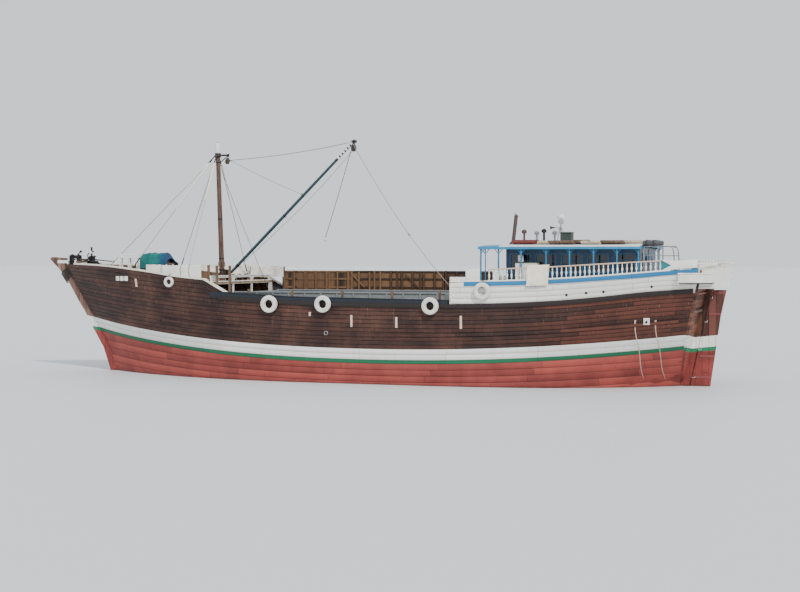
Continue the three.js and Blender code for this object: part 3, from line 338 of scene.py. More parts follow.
# %% Values and finishes
class Value:
    """A quantity that varies over a surface: one output socket in a finish."""

    def __init__(self, finish, socket):
        self.finish = finish
        self.socket = socket

    def math(self, operation, *others):
        return self.finish.node("Math", {"operation": operation}, dict(enumerate((self, *others))))

    def __add__(self, other):
        return self.math("ADD", other)

    def __mul__(self, other):
        return self.math("MULTIPLY", other)

    def __sub__(self, other):
        return self.math("SUBTRACT", other)

    def __truediv__(self, other):
        return self.math("DIVIDE", other)

    def __rsub__(self, other):
        return self * -1 + other

    __radd__ = __add__
    __rmul__ = __mul__

    def floor(self):
        return self.math("FLOOR")

    def size(self):
        return self.math("ABSOLUTE")

    def least(self, other):
        return self.math("MINIMUM", other)

    def rise(self, low, high):
        """0 below low, 1 above high, and smooth between them."""
        limits = {"Value": self, "From Min": low, "From Max": high}
        return self.finish.node("MapRange", {"interpolation_type": "SMOOTHSTEP"}, limits)

    def fall(self, low, high):
        return 1 - self.rise(low, high)


class Finish:
    """A material that is built up from values. Colours are given as they look, as 0xRRGGBB."""

    def __init__(self, name):
        self.material = bpy.data.materials.new(name)
        self.material.use_nodes = True
        self.tree = self.material.node_tree
        self.shader = self.tree.nodes["Principled BSDF"]
        place = self.tree.nodes.new("ShaderNodeTexCoord").outputs["Object"]
        self.place = Value(self, place)
        self.x, self.y, self.z = (self.node("SeparateXYZ", {}, {0: self.place}, axis) for axis in range(3))

    def node(self, kind, settings, sockets, output=0):
        made = self.tree.nodes.new("ShaderNode" + kind)
        for key, value in settings.items():
            setattr(made, key, value)
        for key, value in sockets.items():
            self.feed(made.inputs[key], value)
        return Value(self, made.outputs[output])

    def feed(self, socket, value):
        if isinstance(value, Value):
            self.tree.links.new(value.socket, socket)
        else:
            socket.default_value = value

    def vector(self, x, y, z):
        return self.node("CombineXYZ", {}, {0: x, 1: y, 2: z})

    def lay(self):
        """Metres along the strake, and the number of the strake, from the piece's own map."""
        laid = self.node("UVMap", {"uv_map": "lay"}, {})
        return (self.node("SeparateXYZ", {}, {0: laid}, axis) for axis in range(2))

    def noise(self, vector, scale, detail=3.0, roughness=0.55):
        sockets = {"Vector": vector, "Scale": scale, "Detail": detail, "Roughness": roughness}
        return self.node("TexNoise", {}, sockets)

    def chance(self, first, second=3.0):
        """A random number for each pair of whole numbers."""
        vector = self.vector(first + 0.5, second + 0.5 if isinstance(second, Value) else second, 0.0)
        return self.node("TexWhiteNoise", {"noise_dimensions": "2D"}, {"Vector": vector})

    def blend(self, share, first, second):
        first, second = (tone if isinstance(tone, Value) else shown(tone) for tone in (first, second))
        return self.node("Mix", {"data_type": "RGBA"}, {0: share, 6: first, 7: second}, 2)

    def relief(self, height, distance):
        return self.node("Bump", {}, {"Height": height, "Distance": distance, "Strength": 1.0})

    def done(self, colour, roughness=0.7, height=None, distance=0.004, metallic=0.0, coat=0.0):
        if not isinstance(colour, Value):
            colour = shown(colour)
        self.feed(self.shader.inputs["Base Color"], colour)
        self.feed(self.shader.inputs["Roughness"], roughness)
        self.feed(self.shader.inputs["Metallic"], metallic)
        self.feed(self.shader.inputs["Coat Weight"], coat)
        if height is not None:
            self.feed(self.shader.inputs["Normal"], self.relief(height, distance))
        return self.material


def shown(colour):
    """A colour as it looks, 0xRRGGBB, as the light values that a shader wants."""
    parts = [(colour >> shift & 255) / 255 for shift in (16, 8, 0)]
    linear = [part / 12.92 if part <= 0.04045 else ((part + 0.055) / 1.055) ** 2.4 for part in parts]
    return (*linear, 1.0)


# %% [markdown]
# ## Boards
#
# All the ship's timber is laid in boards. A board pattern needs two things: how far along the course a
# point is, and which course it is on. From those come a random tone for each board, and the dark caulked
# seam round it.

# %% Boards and weather
def boards(finish, along, across, length, width, seam):
    """A random number for each board, and a mask that is 1 in the seams and butts."""
    course = across.floor()
    run = along / length + finish.chance(course) * 7.0
    number = run.floor()
    tone = finish.chance(course, number)
    edge = (0.5 - (across - course - 0.5).size()) * width
    butt = (0.5 - (run - number - 0.5).size()) * length
    return tone, edge.least(butt).fall(0.3 * seam, seam)


def grain(finish, along, across, fine=1.0):
    """Streaks that run along the wood."""
    vector = finish.vector(along * 0.35 * fine, across * 7.0 * fine, finish.z * 0.6 * fine)
    return finish.noise(vector, 4.0, 5.0, 0.62)


def drips(finish, fine=1.0):
    """Upright runs of dirt: quick to change along the ship, slow to change up it."""
    vector = finish.vector(finish.x * 4.0 * fine, finish.y * 4.0 * fine, finish.z * 0.35)
    return finish.noise(vector, 1.6, 4.0, 0.6)


def patches(finish, scale=0.35):
    return finish.noise(finish.place, scale, 4.0, 0.6)


def hull_timber(name):
    """Oiled, weathered planks: nearly black forward and amidships, orange brown towards the stern."""
    finish = Finish(name)
    along, across = finish.lay()
    tone, seam = boards(finish, along, across, 5.2, 0.22, 0.022)
    streaks = grain(finish, along, across)
    runs = drips(finish)
    stern = finish.x.fall(-13.0, -3.0)
    wash = patches(finish, 0.5)
    dark = finish.blend((tone * 0.5 + streaks * 0.8 - 0.15).rise(0.1, 0.9), 0x1A0B09, 0x3F1F19)
    worn = finish.blend((streaks * 0.7 + wash * 0.6).rise(0.56, 0.92), dark, 0x6C4738)
    rich = finish.blend((tone * 0.7 + streaks * 0.5).rise(0.15, 0.95), 0x2B120E, 0x623325)
    colour = finish.blend(stern * (0.35 + 0.65 * wash.rise(0.35, 0.6)), worn, rich)
    colour = finish.blend((runs.rise(0.52, 0.78) * 0.55), colour, 0x1C0E0C)
    pale = drips(finish, 3.1).rise(0.62, 0.74) * (finish.z.rise(2.2, 3.9) * 0.5 + 0.12)
    colour = finish.blend(pale, colour, 0xA98F7C)
    colour = finish.blend(seam * 0.75, colour, 0x0C0605)
    height = streaks * 0.35 - seam * 1.6 + wash * 0.4
    return finish.done(colour, 0.62 + streaks * 0.25, height, 0.008)


def painted_planks(name, colour, dirt, dirt_share=0.5, length=4.6, width=0.22, coat=0.0):
    """Paint over planking: the seams just show, and dirt runs down from them."""
    finish = Finish(name)
    along, across = finish.lay()
    tone, seam = boards(finish, along, across, length, width, 0.016)
    streaks = grain(finish, along, across)
    runs = drips(finish)
    grime = (runs.rise(0.5, 0.85) + patches(finish, 0.8).rise(0.55, 0.8) * 0.6) * dirt_share
    shade = finish.blend(tone * 0.12 + streaks * 0.1, colour, dirt)
    shade = finish.blend(grime.least(1.0) * 0.6, shade, dirt)
    shade = finish.blend(seam * 0.55, shade, dirt)
    height = streaks * 0.25 - seam * 1.2
    return finish.done(shade, 0.5 + streaks * 0.3, height, 0.006, coat=coat)


def bottom_paint(name):
    """Dull red bottom paint: blotched, scraped, glossy and dark with painted shade at the water."""
    finish = Finish(name)
    along, across = finish.lay()
    tone, seam = boards(finish, along, across, 5.2, 0.28, 0.02)
    wash = patches(finish, 0.7)
    streaks = grain(finish, along, across)
    base = finish.blend((wash * 0.8 + tone * 0.3 + streaks * 0.2).rise(0.3, 0.95), 0x6E2A26, 0xA4483F)
    base = finish.blend(drips(finish, 1.5).rise(0.55, 0.8) * 0.4, base, 0x5A2522)
    base = finish.blend(finish.noise(finish.place, 9.0).rise(0.68, 0.76) * 0.3, base, 0xB4867A)
    # Just above the water the red is darkened with painted shade, and the same band is made glossier.
    shaded_wet_edge = (finish.z + finish.noise(finish.place, 1.3) * 0.14).fall(0.02, 0.2)
    base = finish.blend(shaded_wet_edge * 0.75, base, 0x2A1512)
    base = finish.blend(seam * 0.5, base, 0x3A1513)
    return finish.done(base, 0.72 - shaded_wet_edge * 0.35, streaks * 0.3 - seam * 1.3, 0.007)


def plain_timber(name, dark, light, direction="x", width=0.14, seam=0.012, roughness=0.75, length=4.0):
    """Unpainted boards read from place alone: they run along the ship, across it or upright."""
    finish = Finish(name)
    along, across = {
        "x": (finish.x, finish.y), "y": (finish.y, finish.x), "z": (finish.z, finish.x + finish.y),
    }[direction]
    tone, gaps = boards(finish, along, across / width, length, width, seam)
    streaks = grain(finish, along, across / width)
    colour = finish.blend((tone * 0.6 + streaks * 0.6).rise(0.2, 0.95), dark, light)
    colour = finish.blend(patches(finish, 1.1).rise(0.5, 0.75) * 0.4, colour, dark)
    colour = finish.blend(gaps * 0.85, colour, 0x14100C)
    return finish.done(colour, roughness, streaks * 0.5 - gaps * 1.5, 0.005)


def bottom_core(name):
    """The hull's core: red paint outside, bare boards where it is the floor and walls of the hold."""
    finish = Finish(name)
    tone, gaps = boards(finish, finish.x, finish.y / 0.22, 4.0, 0.22, 0.014)
    streaks = grain(finish, finish.x, finish.y / 0.22)
    bare = finish.blend((tone * 0.6 + streaks * 0.6).rise(0.2, 0.95), 0x3A271D, 0x6F5340)
    bare = finish.blend(gaps * 0.85, bare, 0x14100C)
    edge = 0.1
    along = finish.x.rise(INSIDE_AFT, INSIDE_AFT + edge) * finish.x.fall(INSIDE_FORE - edge, INSIDE_FORE)
    across = finish.y.size().fall(INSIDE_HALF - edge, INSIDE_HALF)
    inside = along * across * finish.z.rise(INSIDE_LOW, INSIDE_LOW + edge)
    colour = finish.blend(inside, 0x7C332D, bare)
    return finish.done(colour, 0.75, streaks * 0.5 - gaps * inside * 1.5, 0.005)


def spar_timber(name, dark, light, roughness=0.55):
    """A solid spar or carved timber with long grain and a few shakes."""
    finish = Finish(name)
    vector = finish.vector(finish.x * 5.0, finish.y * 5.0, finish.z * 0.5)
    streaks = finish.noise(vector, 3.0, 5.0, 0.65)
    shakes = finish.noise(vector, 9.0, 2.0).rise(0.66, 0.72)
    colour = finish.blend(streaks.rise(0.3, 0.7), dark, light)
    colour = finish.blend(shakes * 0.6, colour, 0x160D08)
    return finish.done(colour, roughness + streaks * 0.2, streaks * 0.6 - shakes, 0.003)


def old_paint(name, colour, under, roughness=0.5, wear=0.5, coat=0.0, metallic=0.0):
    """Brushed paint, chalked in patches and worn through to what is under it."""
    finish = Finish(name)
    brush = finish.noise(finish.place, 14.0, 4.0, 0.6)
    wash = finish.noise(finish.place, 2.2, 4.0, 0.6)
    chips = finish.noise(finish.place, 6.5, 6.0, 0.7).rise(0.74 - 0.12 * wear, 0.78 - 0.1 * wear)
    shade = finish.blend(wash.rise(0.3, 0.75) * 0.28, colour, under)
    shade = finish.blend(drips(finish, 1.8).rise(0.55, 0.85) * 0.4 * wear, shade, under)
    shade = finish.blend(chips * wear, shade, under)
    rough = roughness + brush * 0.18
    return finish.done(shade, rough, brush * 0.3 - chips * 0.6, 0.0025, metallic, coat)


def iron(name, colour, rust, share=0.5):
    """Painted or bare iron, with rust that breaks out in patches."""
    finish = Finish(name)
    fine = finish.noise(finish.place, 30.0, 5.0, 0.65)
    coarse = finish.noise(finish.place, 5.0, 5.0, 0.65)
    rusty = (coarse * 0.7 + fine * 0.3).rise(0.62 - 0.3 * share, 0.78 - 0.3 * share)
    shade = finish.blend(rusty, colour, rust)
    return finish.done(shade, 0.4 + rusty * 0.45, fine * 0.5 + rusty * 0.5, 0.002, 0.7 - rusty * 0.6)


def rope_lay(name, colour, shadow):
    """Laid rope: slanting strands, read from place."""
    finish = Finish(name)
    twist = finish.node("TexWave", {"bands_direction": "DIAGONAL"}, {"Vector": finish.place, "Scale": 24.0})
    fuzz = finish.noise(finish.place, 40.0)
    shade = finish.blend((twist * 0.7 + fuzz * 0.4).rise(0.2, 0.8), shadow, colour)
    return finish.done(shade, 0.9, twist, 0.004)


# %% The ship's finishes
TIMBER = hull_timber("oiled_planking")
BOTTOM = bottom_paint("red_bottom_paint")
GREEN = painted_planks("green_boot_stripe", 0x0F6A47, 0x0C3A28, 0.5)
WHITE = painted_planks("white_side_paint", 0xF2F1EA, 0x9C9384, 0.32)
STRIPE_WHITE = painted_planks("white_stripe_paint", 0xEDEFEA, 0x8D8A7C, 0.4)
BLUE = painted_planks("blue_moulding_paint", 0x1C78AE, 0x164764, 0.35)
RAIL_BLUE = painted_planks("blue_black_rail_paint", 0x141E2A, 0x0C1014, 0.6)
WALE_PAINT = painted_planks("dark_wale_paint", 0x241816, 0x100B0A, 0.6)
CAP_WHITE = old_paint("rail_cap_paint", 0xE6DFD2, 0x9A846C, 0.55, 0.6)
RAIL_PINK = old_paint("hand_rail_paint", 0xC9B3A4, 0x7E6A5C, 0.6, 0.6)
RAIL_PINK_IRON = old_paint("red_strap_paint", 0x8E4A48, 0x4A2A26, 0.6, 0.6)
# Painted shade for the underside of the latrine boxes.
LATRINE_UNDERSIDE_SHADE = old_paint("dark_sill_paint", 0x3A3634, 0x1B1918, 0.6, 0.4)
POLE = spar_timber("oiled_mast_timber", 0x33221C, 0x6A4B3D, 0.42)
ROUGH = spar_timber("rough_brown_timber", 0x44332A, 0x7C6452, 0.75)
DECK = plain_timber("deck_planking", 0x6F5D46, 0xA8936F, "x", 0.16)
HOLD_BOARDS = plain_timber("hold_planking", 0x3D2B20, 0x7A5B40, "x", 0.24, 0.02)
CANOPY_WHITE = old_paint("roof_paint", 0xD9E4EA, 0x8FA3AC, 0.5, 0.35)
CANOPY_BLUE = old_paint("fascia_blue_paint", 0x3088B4, 0x225574, 0.45, 0.4)
CABIN_BLUE = old_paint("cabin_blue_paint", 0x1D4468, 0x0E2236, 0.4, 0.35, 0.2)
POST_BLUE = old_paint("post_blue_paint", 0x2B7DA8, 0x1E455E, 0.45, 0.4)
WHITE_TRIM = old_paint("white_trim_paint", 0xEFEEE8, 0xA59B8B, 0.5, 0.35)
TEAL = old_paint("teal_paint", 0x1F7F86, 0x12454C, 0.5, 0.3)
BOOM_TEAL = old_paint("boom_teal_paint", 0x24404B, 0x0F1B20, 0.35, 0.5, 0.1)
TYRE_WHITE = old_paint("painted_rubber", 0xE9E6DE, 0x4A4A48, 0.75, 0.7)
# Painted shade for the scupper holes.
HOLE_SHADE = old_paint("black_rubber", 0x232323, 0x3A3835, 0.8, 0.4)
IRON = iron("rusted_iron", 0x2B2E31, 0x55402F, 0.45)
GALVANISED = iron("galvanised_iron", 0x9BA0A2, 0x7A5A42, 0.2)
BRONZE = iron("dull_bronze", 0x9A7440, 0x4E5A3C, 0.35)
ROPE = rope_lay("grey_rope", 0xA8A294, 0x5E5A50)
TARRED = rope_lay("dark_rope", 0x4A443C, 0x1D1A17)
WHITE_PLAIN = old_paint("white_bulkhead_paint", 0xE6E2D8, 0x9A8E7C, 0.55, 0.6)
CABIN_INSIDE = plain_timber("inner_planking", 0x3E2A20, 0x7A5C45, "x", 0.2, 0.014)
BOTTOM_CORE = bottom_core("bottom_and_hold_floor")
HULL_CORE = plain_timber("hold_ceiling_planks", 0x3A271D, 0x6F5340, "x", 0.22, 0.014)
COAMING_GREY = old_paint("coaming_paint", 0x7E858A, 0x4C4A46, 0.7, 0.7)
WINCH_BLACK = iron("black_winch_iron", 0x1C1D1F, 0x4A3228, 0.35)
STICK_PINK = old_paint("fender_stick_paint", 0xE0C8BC, 0x8A6A5C, 0.7, 0.5)
BLOCK_WOOD = spar_timber("block_wood", 0x2A2320, 0x55443A, 0.6)
ROPE_WHITE = rope_lay("white_serving", 0xFAF8F2, 0xD2CEC4)
CABIN_TRIM = old_paint("cabin_trim_paint", 0x2B6288, 0x163447, 0.4, 0.3, 0.15)
STACK_RUST = iron("rusted_stack", 0x5A5150, 0x5F4A42, 0.7)
STAIN = old_paint("lime_stain", 0xC6AFA1, 0x8E5F52, 0.8, 0.8)
LOCKER_GREEN = old_paint("locker_paint", 0x3A4640, 0x20261F, 0.6, 0.5)
RED_WOOD = old_paint("red_brown_wood", 0x7A3A34, 0x4A2622, 0.75, 0.5)
PALE_WOOD = spar_timber("pale_dunnage", 0xA08A70, 0xE4D8C4, 0.8)
RAFT_GREY = old_paint("raft_cover", 0x54575C, 0x33353A, 0.8, 0.4)


def shaded_glass(name):
    """Salt-misted window glass, glossy, duller where salt has dried, and dark with painted shade."""
    finish = Finish(name)
    salt = finish.noise(finish.place, 7.0, 4.0, 0.6).rise(0.45, 0.8)
    shade = finish.blend(salt * 0.5, 0x16222E, 0x4A5A66)
    return finish.done(shade, 0.08 + salt * 0.35, salt, 0.0006, coat=0.4)


GLASS = shaded_glass("salty_glass")


def weave(name, colour, shade, second=None, edge=(0.0, 1.0), threads=160.0):
    """Woven cloth, sun-faded in patches, that may change colour along the ship."""
    finish = Finish(name)
    warp = finish.node("TexWave", {"bands_direction": "X"}, {"Vector": finish.place, "Scale": threads / 6})
    weft = finish.node("TexWave", {"bands_direction": "Z"}, {"Vector": finish.place, "Scale": threads / 6})
    faded = finish.noise(finish.place, 3.0, 4.0, 0.6)
    base = colour
    if second is not None:
        share = (finish.x + finish.noise(finish.place, 2.0) * 0.4).rise(*edge)
        base = finish.blend(share, second, colour)
    tone = finish.blend(faded.rise(0.35, 0.75) * 0.55 + (warp + weft) * 0.08, base, shade)
    return finish.done(tone, 0.9, (warp + weft) * 0.5, 0.0008)


CREAM_CLOTH = weave("cream_cotton", 0xF4EDDC, 0xC9BBA2)
WHITE_CLOTH = weave("white_cotton", 0xF2F1EC, 0xB9B6AE)
TARPAULIN = weave("teal_tarpaulin", 0x14706E, 0x0B4244, 0x1B3A6E, (13.4, 13.9))
print("finishes:", len(bpy.data.materials))

# %% [markdown]
# ## The ship's lines
#
# Planking lies on a doubly curved body that no operator draws by itself. The drawing office gives it as eight
# waterlines, each with its half-breadth amidships, the place of its bow, how full it is fore and aft, and the
# half-breadth left at the transom. Everything on the ship's side is laid by this rule.

# %% Curves and waterlines
def smooth_curve(points):
    """A curve through a few points, x first, that never swings past them."""
    secants = [(b[1] - a[1]) / (b[0] - a[0]) for a, b in zip(points, points[1:])]
    slopes = [secants[0]]
    for before, after in zip(secants, secants[1:]):
        slopes.append(0 if before * after <= 0 else 2 * before * after / (before + after))
    slopes.append(secants[-1])

    def height(at):
        if at <= points[0][0]:
            return points[0][1] + slopes[0] * (at - points[0][0])
        if at >= points[-1][0]:
            return points[-1][1] + slopes[-1] * (at - points[-1][0])
        i = next(k for k in range(len(points) - 1) if at <= points[k + 1][0])
        width = points[i + 1][0] - points[i][0]
        t = (at - points[i][0]) / width
        ease = t * t * (3 - 2 * t)
        bend = slopes[i] * t * (1 - t) ** 2 - slopes[i + 1] * t * t * (1 - t)
        return points[i][1] * (1 - ease) + points[i + 1][1] * ease + width * bend

    return height


RABBET = -2.35
RABBET_HALF = 0.175
BODY_FORE, BODY_AFT = 2.5, -1.0
TRANSOM_X, TRANSOM_RAKE = -14.95, -0.24
RUDDER_X, RUDDER_RAKE = -15.5, -0.215
BREAK_X, POOP_BREAK_X = 9.3, -4.2
DECK_Z, POOP_DECK_Z = 3.88, 4.8

# height, half-breadth, bow, entry, half-breadth at the transom, run
WATERLINES = (
    (-2.35, 0.900, 14.70, 1.3, 0.175, 1.30),
    (-1.80, 3.300, 15.90, 1.7, 0.175, 1.70),
    (-0.90, 4.150, 16.62, 2.0, 0.180, 2.30),
    (0.00, 4.400, 17.08, 2.3, 0.200, 2.95),
    (1.30, 4.540, 17.53, 2.4, 1.500, 2.80),
    (2.80, 4.620, 18.43, 2.5, 2.550, 2.50),
    (4.30, 4.650, 19.36, 2.6, 3.050, 2.30),
    (6.20, 4.660, 20.58, 2.7, 3.400, 2.20),
)
half_at, bow_at, entry_at, stern_at, run_at = (
    smooth_curve([(row[0], row[column]) for row in WATERLINES]) for column in range(1, 6)
)


def transom_x(z):
    return TRANSOM_X + TRANSOM_RAKE * z


def half_breadth(x, z):
    """Half the ship's breadth at a station and a height."""
    half = half_at(z)
    if x > BODY_FORE:
        share = min(1, max(0, (bow_at(z) - x) / (bow_at(z) - BODY_FORE)))
        return mix(RABBET_HALF, half, 1 - (1 - share) ** entry_at(z))
    share = min(1, max(0, (BODY_AFT - x) / (BODY_AFT - transom_x(z))))
    return mix(half, stern_at(z), share ** run_at(z))


# %% Heights along the ship
rail_top = smooth_curve([(9.5, 5.26), (11.1, 5.39), (13.9, 5.72), (17.1, 5.98), (19.7, 6.06)])
waist_top = smooth_curve([(-4.1, 4.29), (1.7, 4.36), (3.9, 4.39), (6.0, 4.49), (8.3, 4.60)])
poop_side_top = smooth_curve(
    [(-17.05, 5.99), (-14.6, 5.78), (-11.6, 5.53), (-10.0, 5.42), (-7.3, 5.29), (-4.2, 5.23)]
)
balustrade_top = smooth_curve([(-14.6, 6.34), (-11.6, 6.17), (-9.0, 6.02), (-6.1, 5.90)])
sheer = smooth_curve(
    [(-17.0, 4.80), (-14.0, 4.60), (-11.6, 4.33), (-9.2, 4.12), (-6.0, 3.97), (-4.0, 3.94), (2.0, 3.98),
     (6.0, 4.12), (9.3, 4.30), (14.0, 4.72), (19.0, 5.20)]
)


def paint_foot(x):
    return 1.08 + 0.0036 * x * x


def green_head(x):
    return paint_foot(x) + 0.19


def paint_head(x):
    return paint_foot(x) + 0.74


def foredeck_top(x):
    return mix(5.15, 5.35, (x - BREAK_X) / (19.0 - BREAK_X))


print("beam at the deck:", round(2 * half_breadth(0, 4), 2), "m")

# %% [markdown]
# ## Planking
#
# A carvel hull is planked in strakes that run from the stem to the transom and narrow towards both ends.
# Each side is one grid, laid on the lines, with a row of its own along every seam that is pressed in a
# finger's breadth. A map on the grid carries metres along the strake and the strake's number, so that the
# finish can break each strake into planks. The Solidify modifier gives the planks their thickness.

# %% Strakes
PROUD = 0.035
SEAM_DEPTH = 0.016
SEAM_SHARE = 0.055
PLANK = 0.03


def side_point(u, v, aft, fore, low, high):
    """The point of the ship's side at shares along and up a stretch."""
    x = mix(aft(0), fore(0), u)
    for _ in range(5):
        z = mix(low(x), high(x), v)
        x = mix(aft(z), fore(z), u)
    return x, z


def laid_grid(columns, rows, place):
    """A grid laid by a rule that gives each point, and its place on the strakes for the map."""
    bpy.ops.mesh.primitive_grid_add(x_subdivisions=columns, y_subdivisions=rows, size=2)
    piece = bpy.context.object
    chart = []
    for vertex in piece.data.vertices:
        vertex.co, spot = place((vertex.co.x + 1) / 2, (vertex.co.y + 1) / 2)
        chart.append(spot)
    layer = piece.data.uv_layers.active
    layer.name = "lay"
    for loop in piece.data.loops:
        layer.data[loop.index].uv = chart[loop.vertex_index]
    return piece


def planking(name, side, aft, fore, low, high, strakes, columns, proud=PROUD, ends=True, plank=PLANK):
    """One side's strakes between two heights."""
    def place(u, v):
        strake, part = divmod(round(v * 3 * strakes), 3)
        number = strake + (0, SEAM_SHARE, 1 - SEAM_SHARE)[part]
        x, z = side_point(u, number / strakes, aft, fore, low, high)
        edge = min(1, 40 * u, 25 * (1 - u)) if ends else 1
        stand = proud * edge - (SEAM_DEPTH if part == 0 else 0)
        return (x, side * (half_breadth(x, z) + stand), z), (x, number)

    piece = laid_grid(columns, 3 * strakes, place)
    piece.name = f"{name}_{'port' if side > 0 else 'starboard'}"
    if side > 0:
        piece.data.flip_normals()
    return smooth(thicken(piece, plank), 50)


def level(value):
    return lambda _: value


# name, low edge, high edge, number of strakes, finish, slot
BANDS = (
    ("bottom_planking", level(RABBET), paint_foot, 11, BOTTOM, "bottom_paint"),
    ("green_strake", paint_foot, green_head, 1, GREEN, "stripe_paint"),
    ("white_strakes", green_head, paint_head, 2, STRIPE_WHITE, "stripe_paint"),
    ("topside_planking", paint_head, sheer, 10, TIMBER, "planking"),
)
for _, side in PORT_AND_STARBOARD:
    for name, low, high, strakes, finish, slot in BANDS:
        piece = planking(name, side, transom_x, bow_at, low, high, strakes, 96)
        dress(piece, finish, "hull", slot)
print("strakes a side:", sum(band[3] for band in BANDS))

# %% [markdown]
# ## The side above the sheer
#
# Forward, the planking goes on up to the forecastle's rail and ends in a slanted break over the waist. Aft, a
# painted band stands on a dark rubbing strake. Amidships the dark rail is all the bulwark there is.

# %% Forecastle planking, white band and stern gallery sides
BREAK_FOOT = (8.2, 4.60)
BREAK_HEAD = (9.5, 5.26)
WALE_DEPTH = 0.20
WALL_FOOT = 3.81


def forecastle_head(x):
    if x > BREAK_HEAD[0]:
        return rail_top(x)
    share = (x - BREAK_FOOT[0]) / (BREAK_HEAD[0] - BREAK_FOOT[0])
    return mix(BREAK_FOOT[1], BREAK_HEAD[1], share)


def waist_wall_head(x):
    return waist_top(x) if x < BREAK_FOOT[0] else forecastle_head(x)


def wale_head(x):
    return sheer(x) + WALE_DEPTH


for _, side in PORT_AND_STARBOARD:
    fore = planking("forecastle_planking", side, level(BREAK_FOOT[0]), bow_at, sheer, forecastle_head, 4, 40)
    dress(fore, TIMBER, "hull", "planking")
    band = planking("poop_band", side, transom_x, level(POOP_BREAK_X), wale_head, poop_side_top, 4, 40)
    dress(band, WHITE, "hull", "white_paint")
    wall = planking("poop_wall", side, transom_x, level(POOP_BREAK_X), sheer, poop_side_top, 4, 40,
                    0.004, False, 0.15)
    dress(wall, WHITE, "hull", "white_paint", [f"poop_side_{wall.name.split('_')[-1]}"])
    wall = planking("waist_wall", side, level(POOP_BREAK_X), level(BREAK_X - 0.1), level(WALL_FOOT),
                    waist_wall_head, 2, 40, 0.004, False, 0.19)
    dress(wall, RAIL_BLUE, "hull", "rail_paint", [f"waist_bulwark_{wall.name.split('_')[-1]}"])


# %% Strips laid on the side
def strip(side, aft, fore, low, high, proud, thickness, columns=48, bevel=0.015):
    """A rail or moulding along the side: its outer face is laid on the lines and then given its thickness."""
    def place(u, v):
        x = mix(aft, fore, u)
        z = mix(low(x), high(x), v)
        return (x, side * (half_breadth(x, z) + proud), z), (x, v + 0.02)

    piece = laid_grid(columns, 1, place)
    if side > 0:
        piece.data.flip_normals()
    thicken(piece, thickness)
    return smooth(eased(piece, bevel), 40)


def above(line, height):
    return lambda x: line(x) + height


# aft, fore, top: the boards that step up over the side at the poop's fore end
STEPPED_BOARDS = ((-5.74, -5.025, 5.89), (-5.015, -4.205, 5.49))
for hand, side in PORT_AND_STARBOARD:
    stepped = [
        strip(side, aft, fore, above(poop_side_top, -0.03), level(top), -0.015, 0.05, 8, 0.01)
        for aft, fore, top in STEPPED_BOARDS
    ]
    fit(f"stepped_boards_{hand}", stepped, WHITE_TRIM, "white_paint")


STRIPE_FORE, STRIPE_HALF = -4.95, 0.10
blue_middle = smooth_curve(
    [(-17.0, 5.88), (-16.4, 5.83), (-14.6, 5.68), (-13.6, 5.58), (-11.6, 5.43), (-10.0, 5.32), (-7.3, 5.19),
     (-4.9, 5.14)]
)
# name, aft, fore, low edge, high edge, how far it stands out, thickness, finish, slot
MOULDINGS = (
    ("rubbing_strake", -16.04, 8.6, above(sheer, -0.02), above(sheer, WALE_DEPTH), 0.10, 0.10, WALE_PAINT,
     "rail_paint"),
    ("waist_rail", -4.1, 9.15, above(sheer, 0.06), above(waist_top, 0.02), 0.085, 0.08, RAIL_BLUE,
     "rail_paint"),
    ("lower_wale", -15.3, 12.5, above(paint_head, 0.62), above(paint_head, 0.78), 0.075, 0.06, TIMBER,
     "planking"),
    ("blue_moulding", -16.3, STRIPE_FORE, above(blue_middle, -STRIPE_HALF), above(blue_middle, STRIPE_HALF),
     0.075, 0.05, BLUE, "cabin_paint"),
)
for _, side in PORT_AND_STARBOARD:
    for name, aft, fore, low, high, proud, thick, finish, slot in MOULDINGS:
        piece = strip(side, aft, fore, low, high, proud, thick)
        piece.name = f"{name}_{'port' if side > 0 else 'starboard'}"
        dress(piece, finish, "hull", slot)


# %% [markdown]
# ## Cap rails
#
# The forecastle's cap is one thick plank bent round the top of the side, wider than the wall below. It is
# laid flat: a grid along the rail, given its depth downwards, with rounded edges. The same plank runs down
# the slanted break to the waist.

# %% Cap rails
CAP_DEPTH, CAP_OUT, CAP_IN = 0.09, 0.075, 0.23


def cap(side, aft, fore, top, columns, out=CAP_OUT, inboard=CAP_IN, depth=CAP_DEPTH):
    """A flat plank bent along the top of the side."""
    def place(u, v):
        x = mix(aft, fore, u)
        z = top(x)
        y = half_breadth(x, z)
        return x, side * mix(y - min(inboard, 0.6 * y), y + out, v), z

    piece = thicken(sheet_of(columns, 2, place, flip=side < 0), depth)
    return smooth(eased(piece, 0.02, 3), 40)


BOW_CAP_END = 19.42
for hand, side in PORT_AND_STARBOARD:
    long_cap = cap(side, BREAK_HEAD[0] - 0.02, BOW_CAP_END, above(rail_top, CAP_DEPTH), 60)
    slant = cap(side, BREAK_FOOT[0] - 0.1, BREAK_HEAD[0] + 0.02, above(forecastle_head, CAP_DEPTH), 10)
    waist_cap = cap(side, POOP_BREAK_X + 0.02, BREAK_FOOT[0] + 0.3, above(waist_top, 0.06), 40, 0.10, 0.22,
                    0.06)
    fit(f"forecastle_cap_{hand}", [long_cap, slant], CAP_WHITE, "white_paint", [f"cap_rail_{hand}"])
    fit(f"waist_cap_{hand}", [waist_cap], RAIL_BLUE, "rail_paint")
    poop_cap = cap(side, -15.0, POOP_BREAK_X - 0.02, above(poop_side_top, 0.055), 40, 0.075, 0.2, 0.055)
    fit(f"poop_cap_{hand}", [poop_cap], WHITE_TRIM, "white_paint")

# %% [markdown]
# ## Tyres
#
# Old lorry tyres painted white hang over the port side as fenders. A tyre is one section, turned round its
# axle with the spin operator: a rounded tread, two bulging walls and a bead. Each hangs in a doubled rope.

